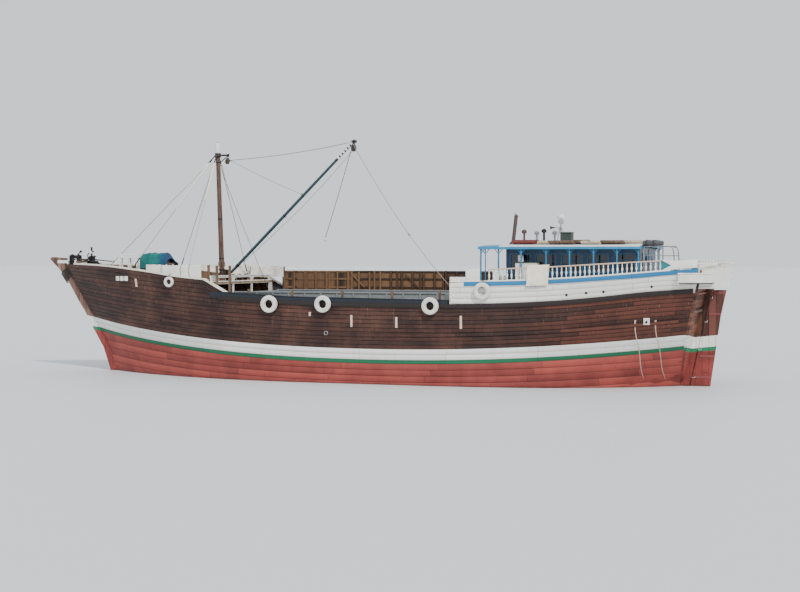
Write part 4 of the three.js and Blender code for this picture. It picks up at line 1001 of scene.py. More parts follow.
# %% Tyre fenders
# x, height of the middle, outer diameter, the rail it hangs from, and how far that rail stands out
TYRES = (
    (11.72, 5.15, 0.56, above(rail_top, CAP_DEPTH), 0.09),
    (5.51, 4.05, 0.90, above(waist_top, 0.06), 0.11),
    (2.50, 4.08, 0.87, above(waist_top, 0.06), 0.11),
    (-3.26, 4.04, 0.87, above(waist_top, 0.06), 0.11),
    (-5.92, 4.80, 0.86, above(poop_side_top, 0.055), 0.09),
)
# share of the outer radius, share of the half width
TYRE_SECTION = (
    (0.50, 0.62), (0.54, 0.86), (0.66, 1.00), (0.82, 1.00), (0.93, 0.88), (0.985, 0.66), (1.00, 0.30),
)
TYRE_WIDTH = 0.26


def tyre(across):
    """A tyre round the Y axis, its section turned a full turn."""
    radius, half = across / 2, TYRE_WIDTH * across / 2
    walls = [(r * radius, w * half) for r, w in TYRE_SECTION]
    bead = [(0.50 * radius, 0.5 * half), (0.56 * radius, 0.4 * half)]
    ring = walls + [(r, -w) for r, w in reversed(walls)] + [(r, -w) for r, w in bead] + \
        [(0.9 * radius, 0)] + [(r, w) for r, w in reversed(bead)]
    mesh = bpy.data.meshes.new("tyre")
    count = len(ring)
    mesh.from_pydata([(r, w, 0) for r, w in ring], [(i, (i + 1) % count) for i in range(count)], [])
    piece = bpy.data.objects.new("tyre", mesh)
    bpy.context.scene.collection.objects.link(piece)
    pick(piece)
    bpy.ops.object.mode_set(mode="EDIT")
    bpy.ops.mesh.select_all(action="SELECT")
    bpy.ops.mesh.spin(steps=36, angle=math.tau, center=(0, 0, 0), axis=(0, 1, 0))
    bpy.ops.object.mode_set(mode="OBJECT")
    return smooth(outward(piece), 30)


for number, (x, middle, across, rail, stand) in enumerate(TYRES):
    face = half_breadth(x, middle + across / 2) + stand
    half = TYRE_WIDTH * across / 2
    ring = tyre(across)
    ring.data.transform(Matrix.Translation((x, face + half + 0.005, middle)))
    ring.name = f"tyre_fender_{number + 1}"
    dress(ring, TYRE_WHITE, "hull", "white_paint")
    top, crown = rail(x), middle + across / 2
    # the rope's way over the rail, round the tyre's crown and back: out from the side, and height
    way = (
        (face - 0.3, top + 0.012), (face - 0.03, top + 0.02), (face + 0.03, top - 0.05),
        (face + half * 1.5, crown - 0.06 * across), (face + half * 2.1, crown - 0.16 * across),
        (face + half, crown - 0.27 * across), (face - 0.005, crown - 0.16 * across),
        (face + 0.005, top - 0.1),
    )
    lines = [drawn([(x + shift, y, z) for y, z in way], 0.012, 6) for shift in (-0.035, 0.035)]
    fit(f"tyre_rope_{number + 1}", lines, TARRED, "wire")
print("tyres:", len(TYRES))

# %% [markdown]
# ## Paint by height
#
# The painted stripes run on over the stem, the transom and the rudder, which come from the drawing office
# as plain solids. Their finish works out the stripes from the height of each point and its distance along
# the ship, by the same curve that the strakes follow. Towards the sternpost the stripes fall a little.

# %% Stem, transom and rudder finishes
STERN_FALL = 0.085


def striped(name, dark, light, across="z", width=0.24, fall=0.0):
    """Bare boards above, then the white and green stripes, then red."""
    finish = Finish(name)
    directions = {"z": (finish.z, finish.x + finish.y), "y": (finish.y, finish.z), "x": (finish.x, finish.z)}
    along, over = directions[across]
    tone, gaps = boards(finish, along, over / width, 3.6, width, 0.016)
    vector = finish.vector(finish.x * 4.0, finish.y * 4.0, finish.z * 0.6)
    streaks = finish.noise(vector, 3.0, 5.0, 0.62)
    wash = patches(finish, 0.8)
    colour = finish.blend((tone * 0.5 + streaks * 0.7).rise(0.2, 0.95), dark, light)
    colour = finish.blend(wash.rise(0.5, 0.75) * 0.5, colour, dark)
    height = finish.z - finish.x * finish.x * 0.0036
    if fall:
        height = height + (3.0 - finish.y.size()) * fall
    ragged = finish.noise(finish.place, 3.0) * 0.03
    dirt = drips(finish).rise(0.5, 0.85) * 0.3
    white = finish.blend(dirt, 0xEDEFEA, 0x8D8A7C)
    green = finish.blend(dirt, 0x1E7A52, 0x123F2C)
    red = finish.blend((wash * 0.9 + streaks * 0.2).rise(0.3, 0.9), 0x6E2A26, 0xA4483F)
    # Just above the water the red is darkened with painted shade.
    shaded_wet_edge = (finish.z + finish.noise(finish.place, 1.3) * 0.14).fall(0.02, 0.2)
    red = finish.blend(shaded_wet_edge * 0.75, red, 0x2A1512)
    colour = finish.blend((height - ragged).fall(1.800, 1.806), colour, white)
    colour = finish.blend((height - ragged).fall(1.250, 1.256), colour, green)
    colour = finish.blend((height - ragged).fall(1.060, 1.066), colour, red)
    colour = finish.blend(gaps * 0.6, colour, 0x0E0706)
    return finish.done(colour, 0.62 + streaks * 0.2, streaks * 0.5 - gaps * 1.4, 0.006)


STEM_WOOD = striped("stem_timber", 0x4E332B, 0x8E6E60)
POST_WOOD = striped("sternpost_timber", 0x33190F, 0x7A4A30, "z", 0.3, STERN_FALL)
TRANSOM_WOOD = striped("transom_planking", 0x351A14, 0x80503A, "y", 0.21, STERN_FALL)
RUDDER_WOOD = striped("rudder_planking", 0x3B1D18, 0x75453A, "z", 0.34, STERN_FALL)


def repaint(node, finish):
    """A solid that keeps its shape gets its finish in its own slots."""
    for slot in nodes[node].material_slots:
        slot.material = finish


STRIPED = {
    "stem": STEM_WOOD, "keel": STEM_WOOD, "sternpost": POST_WOOD,
    "transom": TRANSOM_WOOD, "rudder": RUDDER_WOOD,
}
for node, finish in STRIPED.items():
    repaint(node, finish)
print("striped finishes: 4")

# %% [markdown]
# ## Balustrades
#
# A row of turned balusters stands between the poop's side and its hand rail: a square foot, a vase, a ring
# and a square head. One turning serves them all, and each is drawn out to the rail's height at its place.

# %% Balusters and hand rails
BALUSTRADE_AFT, BALUSTRADE_FORE = -14.56, -6.14
BALUSTERS = 38
BALUSTER_IN = 0.075
# share of the height, radius
BALUSTER_TURNING = (
    (0.00, 0.030), (0.06, 0.034), (0.10, 0.020), (0.17, 0.024), (0.30, 0.044), (0.42, 0.050), (0.54, 0.040),
    (0.66, 0.022), (0.72, 0.020), (0.76, 0.034), (0.80, 0.034), (0.84, 0.020), (0.92, 0.024), (1.00, 0.032),
)


def flat_rail(side, aft, fore, line, low, high, outer, inner, columns=40, bevel=0.012):
    """A rail over the ship's side, between two distances inboard of it and two heights over a line."""
    piece = sheet_of(columns, 1, lambda u, v: (
        mix(aft, fore, u),
        side * (half_breadth(mix(aft, fore, u), poop_side_top(mix(aft, fore, u))) - mix(inner, outer, v)),
        line(mix(aft, fore, u)) + high), flip=side < 0)
    thicken(piece, high - low)
    eased(piece, bevel)
    return smooth(outward(piece), 40)


for hand, side in PORT_AND_STARBOARD:
    hand_rail = flat_rail(side, BALUSTRADE_AFT, BALUSTRADE_FORE, balustrade_top, -0.065, 0.0, 0.015, 0.135)
    fit(f"hand_rail_{hand}", [hand_rail], RAIL_PINK, "white_paint", [f"poop_rail_{hand}"])
    sill = flat_rail(side, BALUSTRADE_AFT, BALUSTRADE_FORE, poop_side_top, 0.02, 0.075, 0.03, 0.12)
    row = []
    for x in spread(BALUSTRADE_AFT + 0.06, BALUSTRADE_FORE - 0.06, BALUSTERS):
        y = side * (half_breadth(x, poop_side_top(x)) - BALUSTER_IN)
        foot, head = poop_side_top(x) + 0.07, balustrade_top(x) - 0.05
        row.append(lathed(BALUSTER_TURNING, (x, y, foot), (x, y, head), 10))
    fit(f"balusters_{hand}", [sill, *row], WHITE_TRIM, "white_paint")
print("balusters:", 2 * BALUSTERS)

# %% [markdown]
# ## Quarter panels
#
# Abaft the balusters the rail becomes a boarded panel, white, with a swallow-tail cut into its fore end
# over a teal ground. Panel and ground are flat outlines, filled, cut fine and bent to the ship's side.

# %% Quarter panels and swallow-tails
PANEL_AFT, PANEL_FORE, PANEL_TOP = -16.25, -14.54, 6.34
TAIL_POINT = -15.02


def side_board(side, outline, outer, thickness):
    """A board on the ship's side: a flat outline in x and z, filled, cut fine, and bent to the side."""
    count = len(outline)
    bpy.ops.mesh.primitive_circle_add(vertices=count, radius=1, fill_type="NGON")
    piece = bpy.context.object
    for vertex, (x, z) in zip(piece.data.vertices, outline):
        vertex.co = (x, 0, z)
    pick(piece)
    bpy.ops.object.mode_set(mode="EDIT")
    low, high = min(x for x, _ in outline), max(x for x, _ in outline)
    for i in range(1, 6):
        bpy.ops.mesh.select_all(action="SELECT")
        bpy.ops.mesh.bisect(plane_co=(mix(low, high, i / 6), 0, 0), plane_no=(1, 0, 0))
    bpy.ops.object.mode_set(mode="OBJECT")
    for vertex in piece.data.vertices:
        x, _, z = vertex.co
        vertex.co.y = side * (half_breadth(x, min(z, poop_side_top(x))) - outer)
    outward(piece)
    facing = sum(face.normal.y * face.area for face in piece.data.polygons)
    if facing * side < 0:
        piece.data.flip_normals()
    thicken(piece, thickness)
    eased(piece, 0.008)
    return smooth(outward(piece), 40)


for hand, side in PORT_AND_STARBOARD:
    foot = [(PANEL_AFT, poop_side_top(PANEL_AFT) + 0.05), (PANEL_FORE, poop_side_top(PANEL_FORE) + 0.05)]
    middle = (foot[1][1] + PANEL_TOP) / 2
    tail = [foot[0], foot[1], (TAIL_POINT, middle), (PANEL_FORE, PANEL_TOP), (-15.4, PANEL_TOP - 0.02),
            (PANEL_AFT, PANEL_TOP + 0.02)]
    ground = [(TAIL_POINT - 0.3, foot[1][1] + 0.02), foot[1], (PANEL_FORE, PANEL_TOP - 0.01),
              (TAIL_POINT - 0.3, PANEL_TOP - 0.03)]
    fit(f"quarter_panel_{hand}", [side_board(side, tail, 0.005, 0.05)], WHITE_TRIM, "white_paint")
    fit(f"swallow_tail_{hand}", [side_board(side, ground, 0.058, 0.05)], TEAL, "cabin_paint")

# %% [markdown]
# ## Stern gallery and latrines
#
# The gallery overhangs the rudder. Its sides carry on the line of the poop's paint work, with a moulded cap
# and a row of knobs. On each quarter hangs a boarded box, with a dark strip of painted shade under it.

# %% Gallery trim and latrines
STERN_AFT = -17.04
LATRINE_AFT, LATRINE_FORE, LATRINE_LOW, LATRINE_HIGH, LATRINE_OUT = -17.03, -15.4, 5.25, 5.72, 3.9


def gallery_side(x, z):
    return half_breadth(x, min(z, 6.15))


for hand, side in PORT_AND_STARBOARD:
    parts = []
    for z, depth, out in ((6.16, 0.07, 0.03), (5.98, 0.035, 0.02), (5.02, 0.08, 0.03)):
        parts.append(beam((transom_x(6.0) + 0.1, side * (gallery_side(-16.4, z) - 0.04), z),
                          (STERN_AFT, side * (gallery_side(STERN_AFT, z) - 0.04), z), 0.09 + 2 * out, depth,
                          0.01))
    for x in spread(-16.45, STERN_AFT + 0.06, 5):
        y = side * (gallery_side(x, 6.2) - 0.04)
        knob = [(0, 0.035), (0.3, 0.035), (0.45, 0.02), (0.7, 0.05), (0.9, 0.045), (1, 0.015)]
        parts.append(lathed(knob, (x, y, 6.18), (x, y, 6.36), 12))
    fit(f"gallery_trim_{hand}", parts, WHITE_TRIM, "white_paint")

    panels = [block((LATRINE_AFT, side * 3.1, LATRINE_LOW + 0.02), (LATRINE_FORE, side * (LATRINE_OUT - 0.02),
              LATRINE_HIGH - 0.02), 0.012)]
    for z, deep in ((LATRINE_LOW, 0.07), (LATRINE_HIGH - 0.06, 0.06)):
        panels.append(block((LATRINE_AFT, side * 3.12, z),
                            (LATRINE_FORE + 0.02, side * (LATRINE_OUT + 0.015), z + deep)))
    for i in range(1, 6):
        x = mix(LATRINE_AFT, LATRINE_FORE, i / 6)
        panels.append(block((x - 0.012, side * (LATRINE_OUT - 0.03), LATRINE_LOW + 0.06),
                            (x + 0.012, side * (LATRINE_OUT - 0.008), LATRINE_HIGH - 0.06), 0.004, 1))
    fit(f"latrine_box_{hand}", panels, WHITE_TRIM, "white_paint", [f"latrine_{hand}"])
    # The dark strip under each box is painted shade, where the box's underside lies in shadow.
    shade_block = block((LATRINE_AFT + 0.03, side * 3.2, LATRINE_LOW - 0.05),
                (LATRINE_FORE - 0.03, side * (LATRINE_OUT - 0.05), LATRINE_LOW + 0.01))
    fit(f"latrine_sill_{hand}", [shade_block], LATRINE_UNDERSIDE_SHADE, "rail_paint")
    reach = beam((-16.35, side * (gallery_side(-16.4, 6.2) + 0.02), 6.02),
                 (-17.2, side * (gallery_side(STERN_AFT, 6.2) + 0.04), 6.16), 0.13, 0.13, 0.03)
    fit(f"quarter_beam_{hand}", [reach], WHITE_TRIM, "white_paint")
print("quarter pieces ready")

# %% Rudder straps, transom mouldings and tiller
STRAP_HEIGHTS = (-0.55, 0.45, 1.51, 3.63, 4.70)
rudder_back = smooth_curve([(-2.5, -16.15), (-1.3, -16.4), (0.0, -16.45), (1.73, -16.7), (3.54, -16.95),
                            (4.84, -17.23)])


def rudder_x(z):
    return RUDDER_X + RUDDER_RAKE * z


# Between the gudgeons the blade is rounded off about its axis, so that no light shows between it and the
# post.
GUDGEONS = (-1.9, -0.7, 0.5, 1.9, 3.3, 4.5)
STOCK_RADIUS = 0.072
stocks = []
for foot, head in zip((-2.48, *(z + 0.19 for z in GUDGEONS)), (*(z - 0.085 for z in GUDGEONS), 4.82)):
    stocks.append(lathed([(0, STOCK_RADIUS), (1, STOCK_RADIUS)], (rudder_x(foot), 0, foot),
                         (rudder_x(head), 0, head), 28))
fit("rudder_stock", stocks, RUDDER_WOOD, "planking", body="rudder")

straps = []
for z in STRAP_HEIGHTS:
    for side in (1, -1):
        back = rudder_back(z) + 0.01
        straps.append(block((back, side * 0.055, z - 0.055), (rudder_x(z) - 0.10, side * 0.085, z + 0.055),
                            0.01))
        for x in spread(back + 0.06, rudder_x(z) - 0.2, 5):
            bolt = turned([(0, 0.024), (0.5, 0.024), (1, 0.012)], (x, side * 0.08, z), (x, side * 0.105, z),
                          8)
            straps.append(smooth(bolt, 40))
fit("rudder_straps", straps, RAIL_PINK_IRON, "steel", body="rudder")

# name, height, depth, how far it stands out, finish
TRANSOM_STRIPS = (
    ("transom_strip", 4.70, 0.10, 0.05, RAIL_PINK_IRON),
    ("transom_ledge", 3.83, 0.13, 0.08, ROUGH),
)
for name, z, deep, stand, finish in TRANSOM_STRIPS:
    x = transom_x(z) - 0.14
    half = half_breadth(transom_x(z), z) - 0.05
    sides = [block((x - stand, side * 0.16, z - deep / 2), (x + 0.04, side * half, z + deep / 2), 0.02)
             for side in (1, -1)]
    fit(name, sides, finish, "planking")
print("strap pieces:", len(straps))

# %% [markdown]
# ## Canopy roof
#
# The roof over the poop is a light boarded sheet with a little camber, so that rain runs off. It is a grid
# that is bent over by a formula and given its thickness. Carlins run across under it, and a fascia closes
# its edge.

# %% Canopy roof
ROOF_AFT, ROOF_FORE, ROOF_HALF, ROOF_TOP = -13.45, -5.3, 3.2, 7.12
ROOF_CAMBER = 0.10
FASCIA_DEPTH = 0.15
WHITE_FORE = -6.35
POST_HALF = 3.08


def roof_z(y):
    return ROOF_TOP - ROOF_CAMBER * (y / ROOF_HALF) ** 2


def roof_sheet(columns, aft, fore, lift):
    """A boarded stretch of the roof, from side to side, with its camber."""
    def place(u, v):
        y = mix(-ROOF_HALF, ROOF_HALF, v)
        return mix(aft, fore, u), y, roof_z(y) + lift

    return sheet_of(columns, 24, place, 0.03)


boarding = roof_sheet(12, ROOF_AFT, WHITE_FORE, 0.015)
fit("roof_boarding", [smooth(boarding, 40)], CANOPY_WHITE, "canopy_paint", ["canopy_roof"])
fore_bay = roof_sheet(4, WHITE_FORE, ROOF_FORE + 0.03, -0.01)
fit("fore_bay_roof", [smooth(fore_bay, 40)], CANOPY_BLUE, "canopy_paint")

edges, nosing = [], []
for side in (1, -1):
    y, z = side * ROOF_HALF, roof_z(ROOF_HALF)
    edges.append(block((ROOF_AFT, y - side * 0.045, z - FASCIA_DEPTH), (ROOF_FORE, y, z - 0.03), 0.008))
    nosing.append(block((ROOF_AFT, y - side * 0.07, z - 0.035), (WHITE_FORE, y + side * 0.02, z + 0.035),
                        0.015))
for x, inward in ((ROOF_AFT, 1), (ROOF_FORE, -1)):
    edge = sheet_of(1, 24, lambda u, v, x=x: (
        x, mix(-ROOF_HALF, ROOF_HALF, v), roof_z(mix(-ROOF_HALF, ROOF_HALF, v)) - mix(FASCIA_DEPTH, 0.01, u)),
        flip=inward > 0)
    thicken(edge, 0.045)
    edges.append(outward(edge))
for x in spread(ROOF_AFT + 0.35, ROOF_FORE - 0.4, 12):
    carlin = sheet_of(1, 16, lambda u, v, x=x: (
        x, mix(-3.1, 3.1, v), roof_z(mix(-3.1, 3.1, v)) - mix(0.105, 0.02, u)), flip=True)
    thicken(carlin, 0.06, 0)
    edges.append(outward(carlin))
fit("roof_fascia", edges, CANOPY_BLUE, "canopy_paint")
fit("roof_nosing", nosing, CANOPY_WHITE, "canopy_paint")

# %% [markdown]
# ## Canopy posts
#
# Slim painted posts carry the roof. Each is a squared timber with its edges taken off, a shoe at its foot
# and two small knees under the beam. The first bay is closed by a pair of posts set side by side.

# %% Canopy posts and rails
POST_PLACES = (-5.38, -5.62, -6.30, -7.47, -8.75, -9.94, -11.14, -12.30, -13.36)
POST = 0.075
BEAM_HEAD = ROOF_TOP - ROOF_CAMBER - 0.045
for hand, side in PORT_AND_STARBOARD:
    y = side * POST_HALF
    parts = [block((ROOF_AFT + 0.05, y - 0.04, BEAM_HEAD - 0.1), (ROOF_FORE - 0.05, y + 0.04, BEAM_HEAD),
                   0.01)]
    for x in POST_PLACES:
        wide = POST if x != POST_PLACES[1] else 0.05
        parts.append(block((x - wide / 2, y - wide / 2, POOP_DECK_Z),
                           (x + wide / 2, y + wide / 2, BEAM_HEAD - 0.09), 0.012))
        parts.append(block((x - 0.07, y - 0.07, POOP_DECK_Z), (x + 0.07, y + 0.07, POOP_DECK_Z + 0.12),
                           0.015))
        for lean in (1, -1):
            if ROOF_AFT < x + lean * 0.2 < ROOF_FORE - 0.05:
                parts.append(beam((x, y, BEAM_HEAD - 0.32), (x + lean * 0.2, y, BEAM_HEAD - 0.1), 0.035,
                                  0.035, 0.005))
    fit(f"canopy_frame_{hand}", parts, POST_BLUE, "cabin_paint", [f"canopy_posts_{hand}"])
print("posts a side:", len(POST_PLACES))

# %% [markdown]
# ## Cabin joinery
#
# The cabin's walls keep their shape. Their windows get what a joiner adds: a raised frame, a sill, two bars
# and a pane of glass, dark with painted shade. Below the windows run raised panels. All of it is made from
# one table of openings.

# %% Cabin joinery
CABIN_AFT, CABIN_FORE, CABIN_HALF, CABIN_WALL = -13.3, -6.5, 2.35, 0.08
SILL_Z, HEAD_Z = 5.75, 6.62
SIDE_WINDOWS = spread(CABIN_AFT + 0.75, CABIN_FORE - 0.75, 5)
FRAME, STAND = 0.055, 0.022


def on_side(side):
    """Places a point on a side wall: along the ship, out of the wall, up."""
    return lambda a, out, z: (a, side * (CABIN_HALF + out), z)


def on_front(a, out, z):
    return (CABIN_FORE + out, a, z)


def on_back(a, out, z):
    return (CABIN_AFT - out, a, z)


# where, first edge, last edge, wall's name
OPENINGS = [(on_side(side), x - 0.5, x + 0.5, hand) for hand, side in PORT_AND_STARBOARD
            for x in SIDE_WINDOWS]
OPENINGS += [(on_front, 1.4 * place - 0.55, 1.4 * place + 0.55, "front") for place in (-1, 0, 1)]
OPENINGS += [(on_back, 0.4, 1.6, "back")]


def window(where, first, last):
    """A window's frame with its bars, and its glass."""
    low, high = SILL_Z, HEAD_Z
    rails = [
        (first - FRAME, first + 0.012, low - FRAME, high + FRAME),
        (last - 0.012, last + FRAME, low - FRAME, high + FRAME), (first, last, high - 0.012, high + FRAME),
        (first, last, low - FRAME, low + 0.012),
    ]
    made = [block(where(a, STAND, z0), where(b, -CABIN_WALL - STAND, z1), 0.006) for a, b, z0, z1 in rails]
    made.append(block(where(first - 0.09, STAND + 0.03, low - FRAME - 0.03),
                      where(last + 0.09, -0.02, low - FRAME)))
    middle = (first + last) / 2
    made.append(block(where(middle - 0.015, -0.02, low), where(middle + 0.015, -0.06, high), 0.003, 1))
    made.append(block(where(first, -0.02, mix(low, high, 0.62)),
                      where(last, -0.06, mix(low, high, 0.62) + 0.025), 0.003, 1))
    return made, block(where(first, -0.036, low), where(last, -0.044, high), 0.001, 1)


frames, panes = {}, []
for where, first, last, wall in OPENINGS:
    made, pane = window(where, first, last)
    frames.setdefault(wall, []).extend(made)
    panes.append(pane)
for wall, made in frames.items():
    fit(f"window_frames_{wall}", made, CABIN_TRIM, "cabin_paint")
fit("window_glass", panes, GLASS)

panelling = []
for hand, side in PORT_AND_STARBOARD:
    where = on_side(side)
    panelling.append(block(where(CABIN_AFT, 0.016, 5.60), where(CABIN_FORE, 0.0, 5.66)))
    panelling.append(block(where(CABIN_AFT, 0.03, POOP_DECK_Z + 0.005),
                           where(CABIN_FORE, 0.0, POOP_DECK_Z + 0.16)))
    for x in spread(CABIN_AFT + 0.05, CABIN_FORE - 0.05, 14):
        panelling.append(block(where(x - 0.035, 0.016, 4.96), where(x + 0.035, 0.0, 5.60), 0.005))
for a in (-2.3, -0.75, 0.75, 2.3):
    panelling.append(block(on_front(a - 0.035, 0.016, 4.82), on_front(a + 0.035, 0.0, 5.68), 0.005))
panelling.append(block(on_front(-2.33, 0.016, 5.60), on_front(2.33, 0.0, 5.66)))
for z0, z1 in ((5.60, 5.66), (4.96, 5.02)):
    panelling.append(block(on_back(-0.3, 0.016, z0), on_back(2.3, 0.0, z1)))
fit("cabin_panelling", panelling, CABIN_BLUE, "cabin_paint")

DOOR_FIRST, DOOR_LAST, DOOR_FOOT, DOOR_HEAD = -1.04, -0.354, 4.81, 6.642
door_out = [
    block((CABIN_AFT - 0.02, a, z0), (CABIN_AFT - 0.004, b, z1), 0.005)
    for a, b, z0, z1 in (
        (DOOR_FIRST + 0.005, DOOR_FIRST + 0.09, DOOR_FOOT + 0.005, DOOR_HEAD - 0.005),
        (DOOR_LAST - 0.09, DOOR_LAST - 0.005, DOOR_FOOT + 0.005, DOOR_HEAD - 0.005),
        (DOOR_FIRST + 0.09, DOOR_LAST - 0.09, DOOR_FOOT + 0.005, DOOR_FOOT + 0.16),
        (DOOR_FIRST + 0.09, DOOR_LAST - 0.09, 5.62, 5.74), (DOOR_FIRST + 0.09, DOOR_LAST - 0.09, 6.53, 6.637),
    )
]
fit("door_panels", door_out, CABIN_TRIM, "cabin_paint", body="cabin_door")
knob = lathed([(0, 0.012), (0.5, 0.012), (0.55, 0.026), (0.85, 0.028), (1, 0.012)],
              (CABIN_AFT - 0.018, -0.42, 5.68), (CABIN_AFT - 0.085, -0.42, 5.68), 14)
fit("door_knob", [knob], BRONZE, "bronze", body="cabin_door")
print("windows:", len(OPENINGS))

# %% [markdown]
# ## Side deck
#
# Between the cabin and the port rail stands a white cupboard with a dark top and a white water can on it.
# It has two doors, which keep shut.

# %% Side deck
CUPBOARD = ((-8.27, 2.46, POOP_DECK_Z), (-7.14, 2.96, 6.19))
(aft, inner, foot), (fore, outer, head) = CUPBOARD
cupboard = [block(*CUPBOARD, 0.012)]
for first, last in ((aft + 0.05, (aft + fore) / 2 - 0.01), ((aft + fore) / 2 + 0.01, fore - 0.05)):
    cupboard.append(block((first, outer - 0.005, foot + 0.12), (last, outer + 0.016, head - 0.06), 0.006))
    for low, high in ((foot + 0.2, 5.42), (5.5, head - 0.14)):
        cupboard.append(block((first + 0.07, outer, low), (last - 0.07, outer + 0.024, high), 0.006))
fit("side_cupboard", cupboard, WHITE_TRIM, "white_paint")
top = block((aft - 0.04, inner - 0.01, head), (fore + 0.04, outer + 0.035, head + 0.045), 0.012)
fit("cupboard_top", [top], LOCKER_GREEN, "hold_timber")
can = turned([(0, 0.14), (0.04, 0.152), (0.34, 0.150), (0.36, 0.158), (0.4, 0.150), (0.72, 0.152),
              (0.86, 0.11), (0.9, 0.05), (1, 0.055)], (-7.36, 2.7, head + 0.045), (-7.36, 2.7, 6.64), 24)
fit("water_can", [smooth(can, 40)], WHITE_TRIM, "white_paint")
print("side deck pieces: 3")

# %% [markdown]
# ## On the roof
#
# A rusty exhaust pipe, four small vents, a light radar mast with its dome, a dark crate and bundles of
# dunnage stand on the roof. Abaft it, a bent pipe frame carries a folded raft.

# %% Roof gear
pipe = [(0, 0.125), (0.02, 0.125), (0.03, 0.098), (0.93, 0.098), (0.935, 0.108), (1, 0.108)]
stack = lathed(pipe, (-6.24, 0, ROOF_TOP + 0.005), (-6.42, 0, 8.66), 24)
collar = lathed([(0, 0.2), (0.4, 0.19), (1, 0.11)], (-6.24, 0, ROOF_TOP), (-6.25, 0, 7.3), 24)
flap = lathed([(0, 0.115), (1, 0.115)], (-6.47, 0, 8.67), (-6.5, 0, 8.685), 24)
flap.data.transform(Matrix.Translation((-6.42, 0, 8.68)) @ Matrix.Rotation(math.radians(24), 4, "Y")
                    @ Matrix.Translation((6.485, 0, -8.678)))
fit("exhaust_pipe", [stack, collar, flap], STACK_RUST, "steel", ["exhaust_stack"])

VENTS = ((-6.95, 0.4, 7.92, STACK_RUST), (-7.45, -0.3, 7.85, GALVANISED), (-7.95, 0.2, 7.95, IRON),
         (-8.35, -0.5, 7.86, GALVANISED))
for number, (x, y, head, finish) in enumerate(VENTS):
    foot = roof_z(y) + 0.01
    stem = [(0, 0.11), (0.04, 0.11), (0.06, 0.055), (0.86, 0.055), (1, 0.055)]
    cowl = [(0, 0.055), (0.12, 0.13), (0.6, 0.14), (0.85, 0.09), (1, 0.02)]
    parts = [lathed(stem, (x, y, foot), (x, y, head - 0.2), 16),
             lathed(cowl, (x, y, head - 0.22), (x, y, head), 16)]
    fit(f"roof_vent_{number + 1}", parts, finish, "steel")

RADAR_X = -8.8
mast_parts = [bar((RADAR_X, 0, 7.13), (RADAR_X, 0, 8.49), 0.04, 0.032, 14)]
for dy in (0.45, -0.45):
    mast_parts.append(bar((RADAR_X + 0.35, dy, roof_z(dy) + 0.01), (RADAR_X, 0, 8.15), 0.02, 0.02, 8))
mast_parts.append(bar((RADAR_X - 0.45, 0, 7.13), (RADAR_X, 0, 8.05), 0.02, 0.02, 8))
mast_parts.append(bar((RADAR_X, -0.5, 8.25), (RADAR_X, 0.5, 8.25), 0.02, 0.02, 8))
for dy in (-0.45, 0.45):
    mast_parts.append(bar((RADAR_X, dy, 8.2), (RADAR_X, dy, 8.42), 0.035, 0.035, 12))
fit("radar_pole", mast_parts, GALVANISED, "steel", ["radar_mast"])
dome = [(0, 0.12), (0.1, 0.19), (0.45, 0.2), (0.75, 0.165), (0.93, 0.09), (1, 0.02)]
radome = lathed(dome, (RADAR_X, 0, 8.46), (RADAR_X, 0, 8.70), 28, 50)
fit("radar_dome", [radome], WHITE_TRIM, "white_paint")
horn = lathed([(0, 0.03), (0.3, 0.035), (0.7, 0.06), (1, 0.11)], (-8.5, 0.15, 8.0), (-8.28, 0.15, 8.0), 16)
bracket = bar((-8.5, 0.15, 8.0), (RADAR_X, 0.02, 8.0), 0.012, 0.012, 8)
fit("deck_horn", [horn, bracket], IRON, "steel")

crate = [block((-9.5, 0.3, roof_z(0.3) + 0.03), (-8.98, 0.85, 7.72), 0.012)]
for x in (-9.5, -9.24, -8.98):
    crate.append(block((x - 0.025, 0.285, roof_z(0.3) + 0.02), (x + 0.025, 0.865, 7.75), 0.006))
crate.append(block((-9.54, 0.26, 7.70), (-8.94, 0.89, 7.76), 0.01))
fit("battery_locker", crate, LOCKER_GREEN, "hold_timber")

# x aft, x fore, y, height over the roof, thickness, finish
DUNNAGE = (
    (-7.9, -6.5, 0.75, 0.05, 0.14, "RED"), (-7.8, -6.7, 1.1, 0.04, 0.1, "RED"),
    (-8.9, -7.95, 1.3, 0.05, 0.1, "PALE"), (-9.9, -8.6, 1.6, 0.06, 0.12, "BROWN"),
    (-10.6, -9.7, 1.2, 0.06, 0.14, "BROWN"), (-11.3, -10.3, 1.7, 0.05, 0.1, "PALE"),
    (-12.4, -11.2, 1.5, 0.05, 0.12, "BROWN"), (-12.9, -12.0, -0.6, 0.05, 0.12, "PALE"),
    (-9.8, -8.8, -1.1, 0.06, 0.12, "PALE"),
)
piles = {"RED": [], "PALE": [], "BROWN": []}
for aft, fore, y, lift, thick, kind in DUNNAGE:
    for k in range(4):
        shift = 0.12 * k
        skew = 0.05 * math.sin(3.1 * aft + 2.0 * k)
        z = roof_z(y + shift) + 0.015 + thick / 2 + (0.1 if k % 2 else 0.0)
        piles[kind].append(beam((aft + skew, y + shift + skew, z), (fore + skew, y + shift - skew, z), 0.11,
                                thick, 0.02))
for kind, finish in (("RED", RED_WOOD), ("PALE", PALE_WOOD), ("BROWN", ROUGH)):
    fit(f"roof_{kind.lower()}_dunnage", piles[kind], finish, "hold_timber")

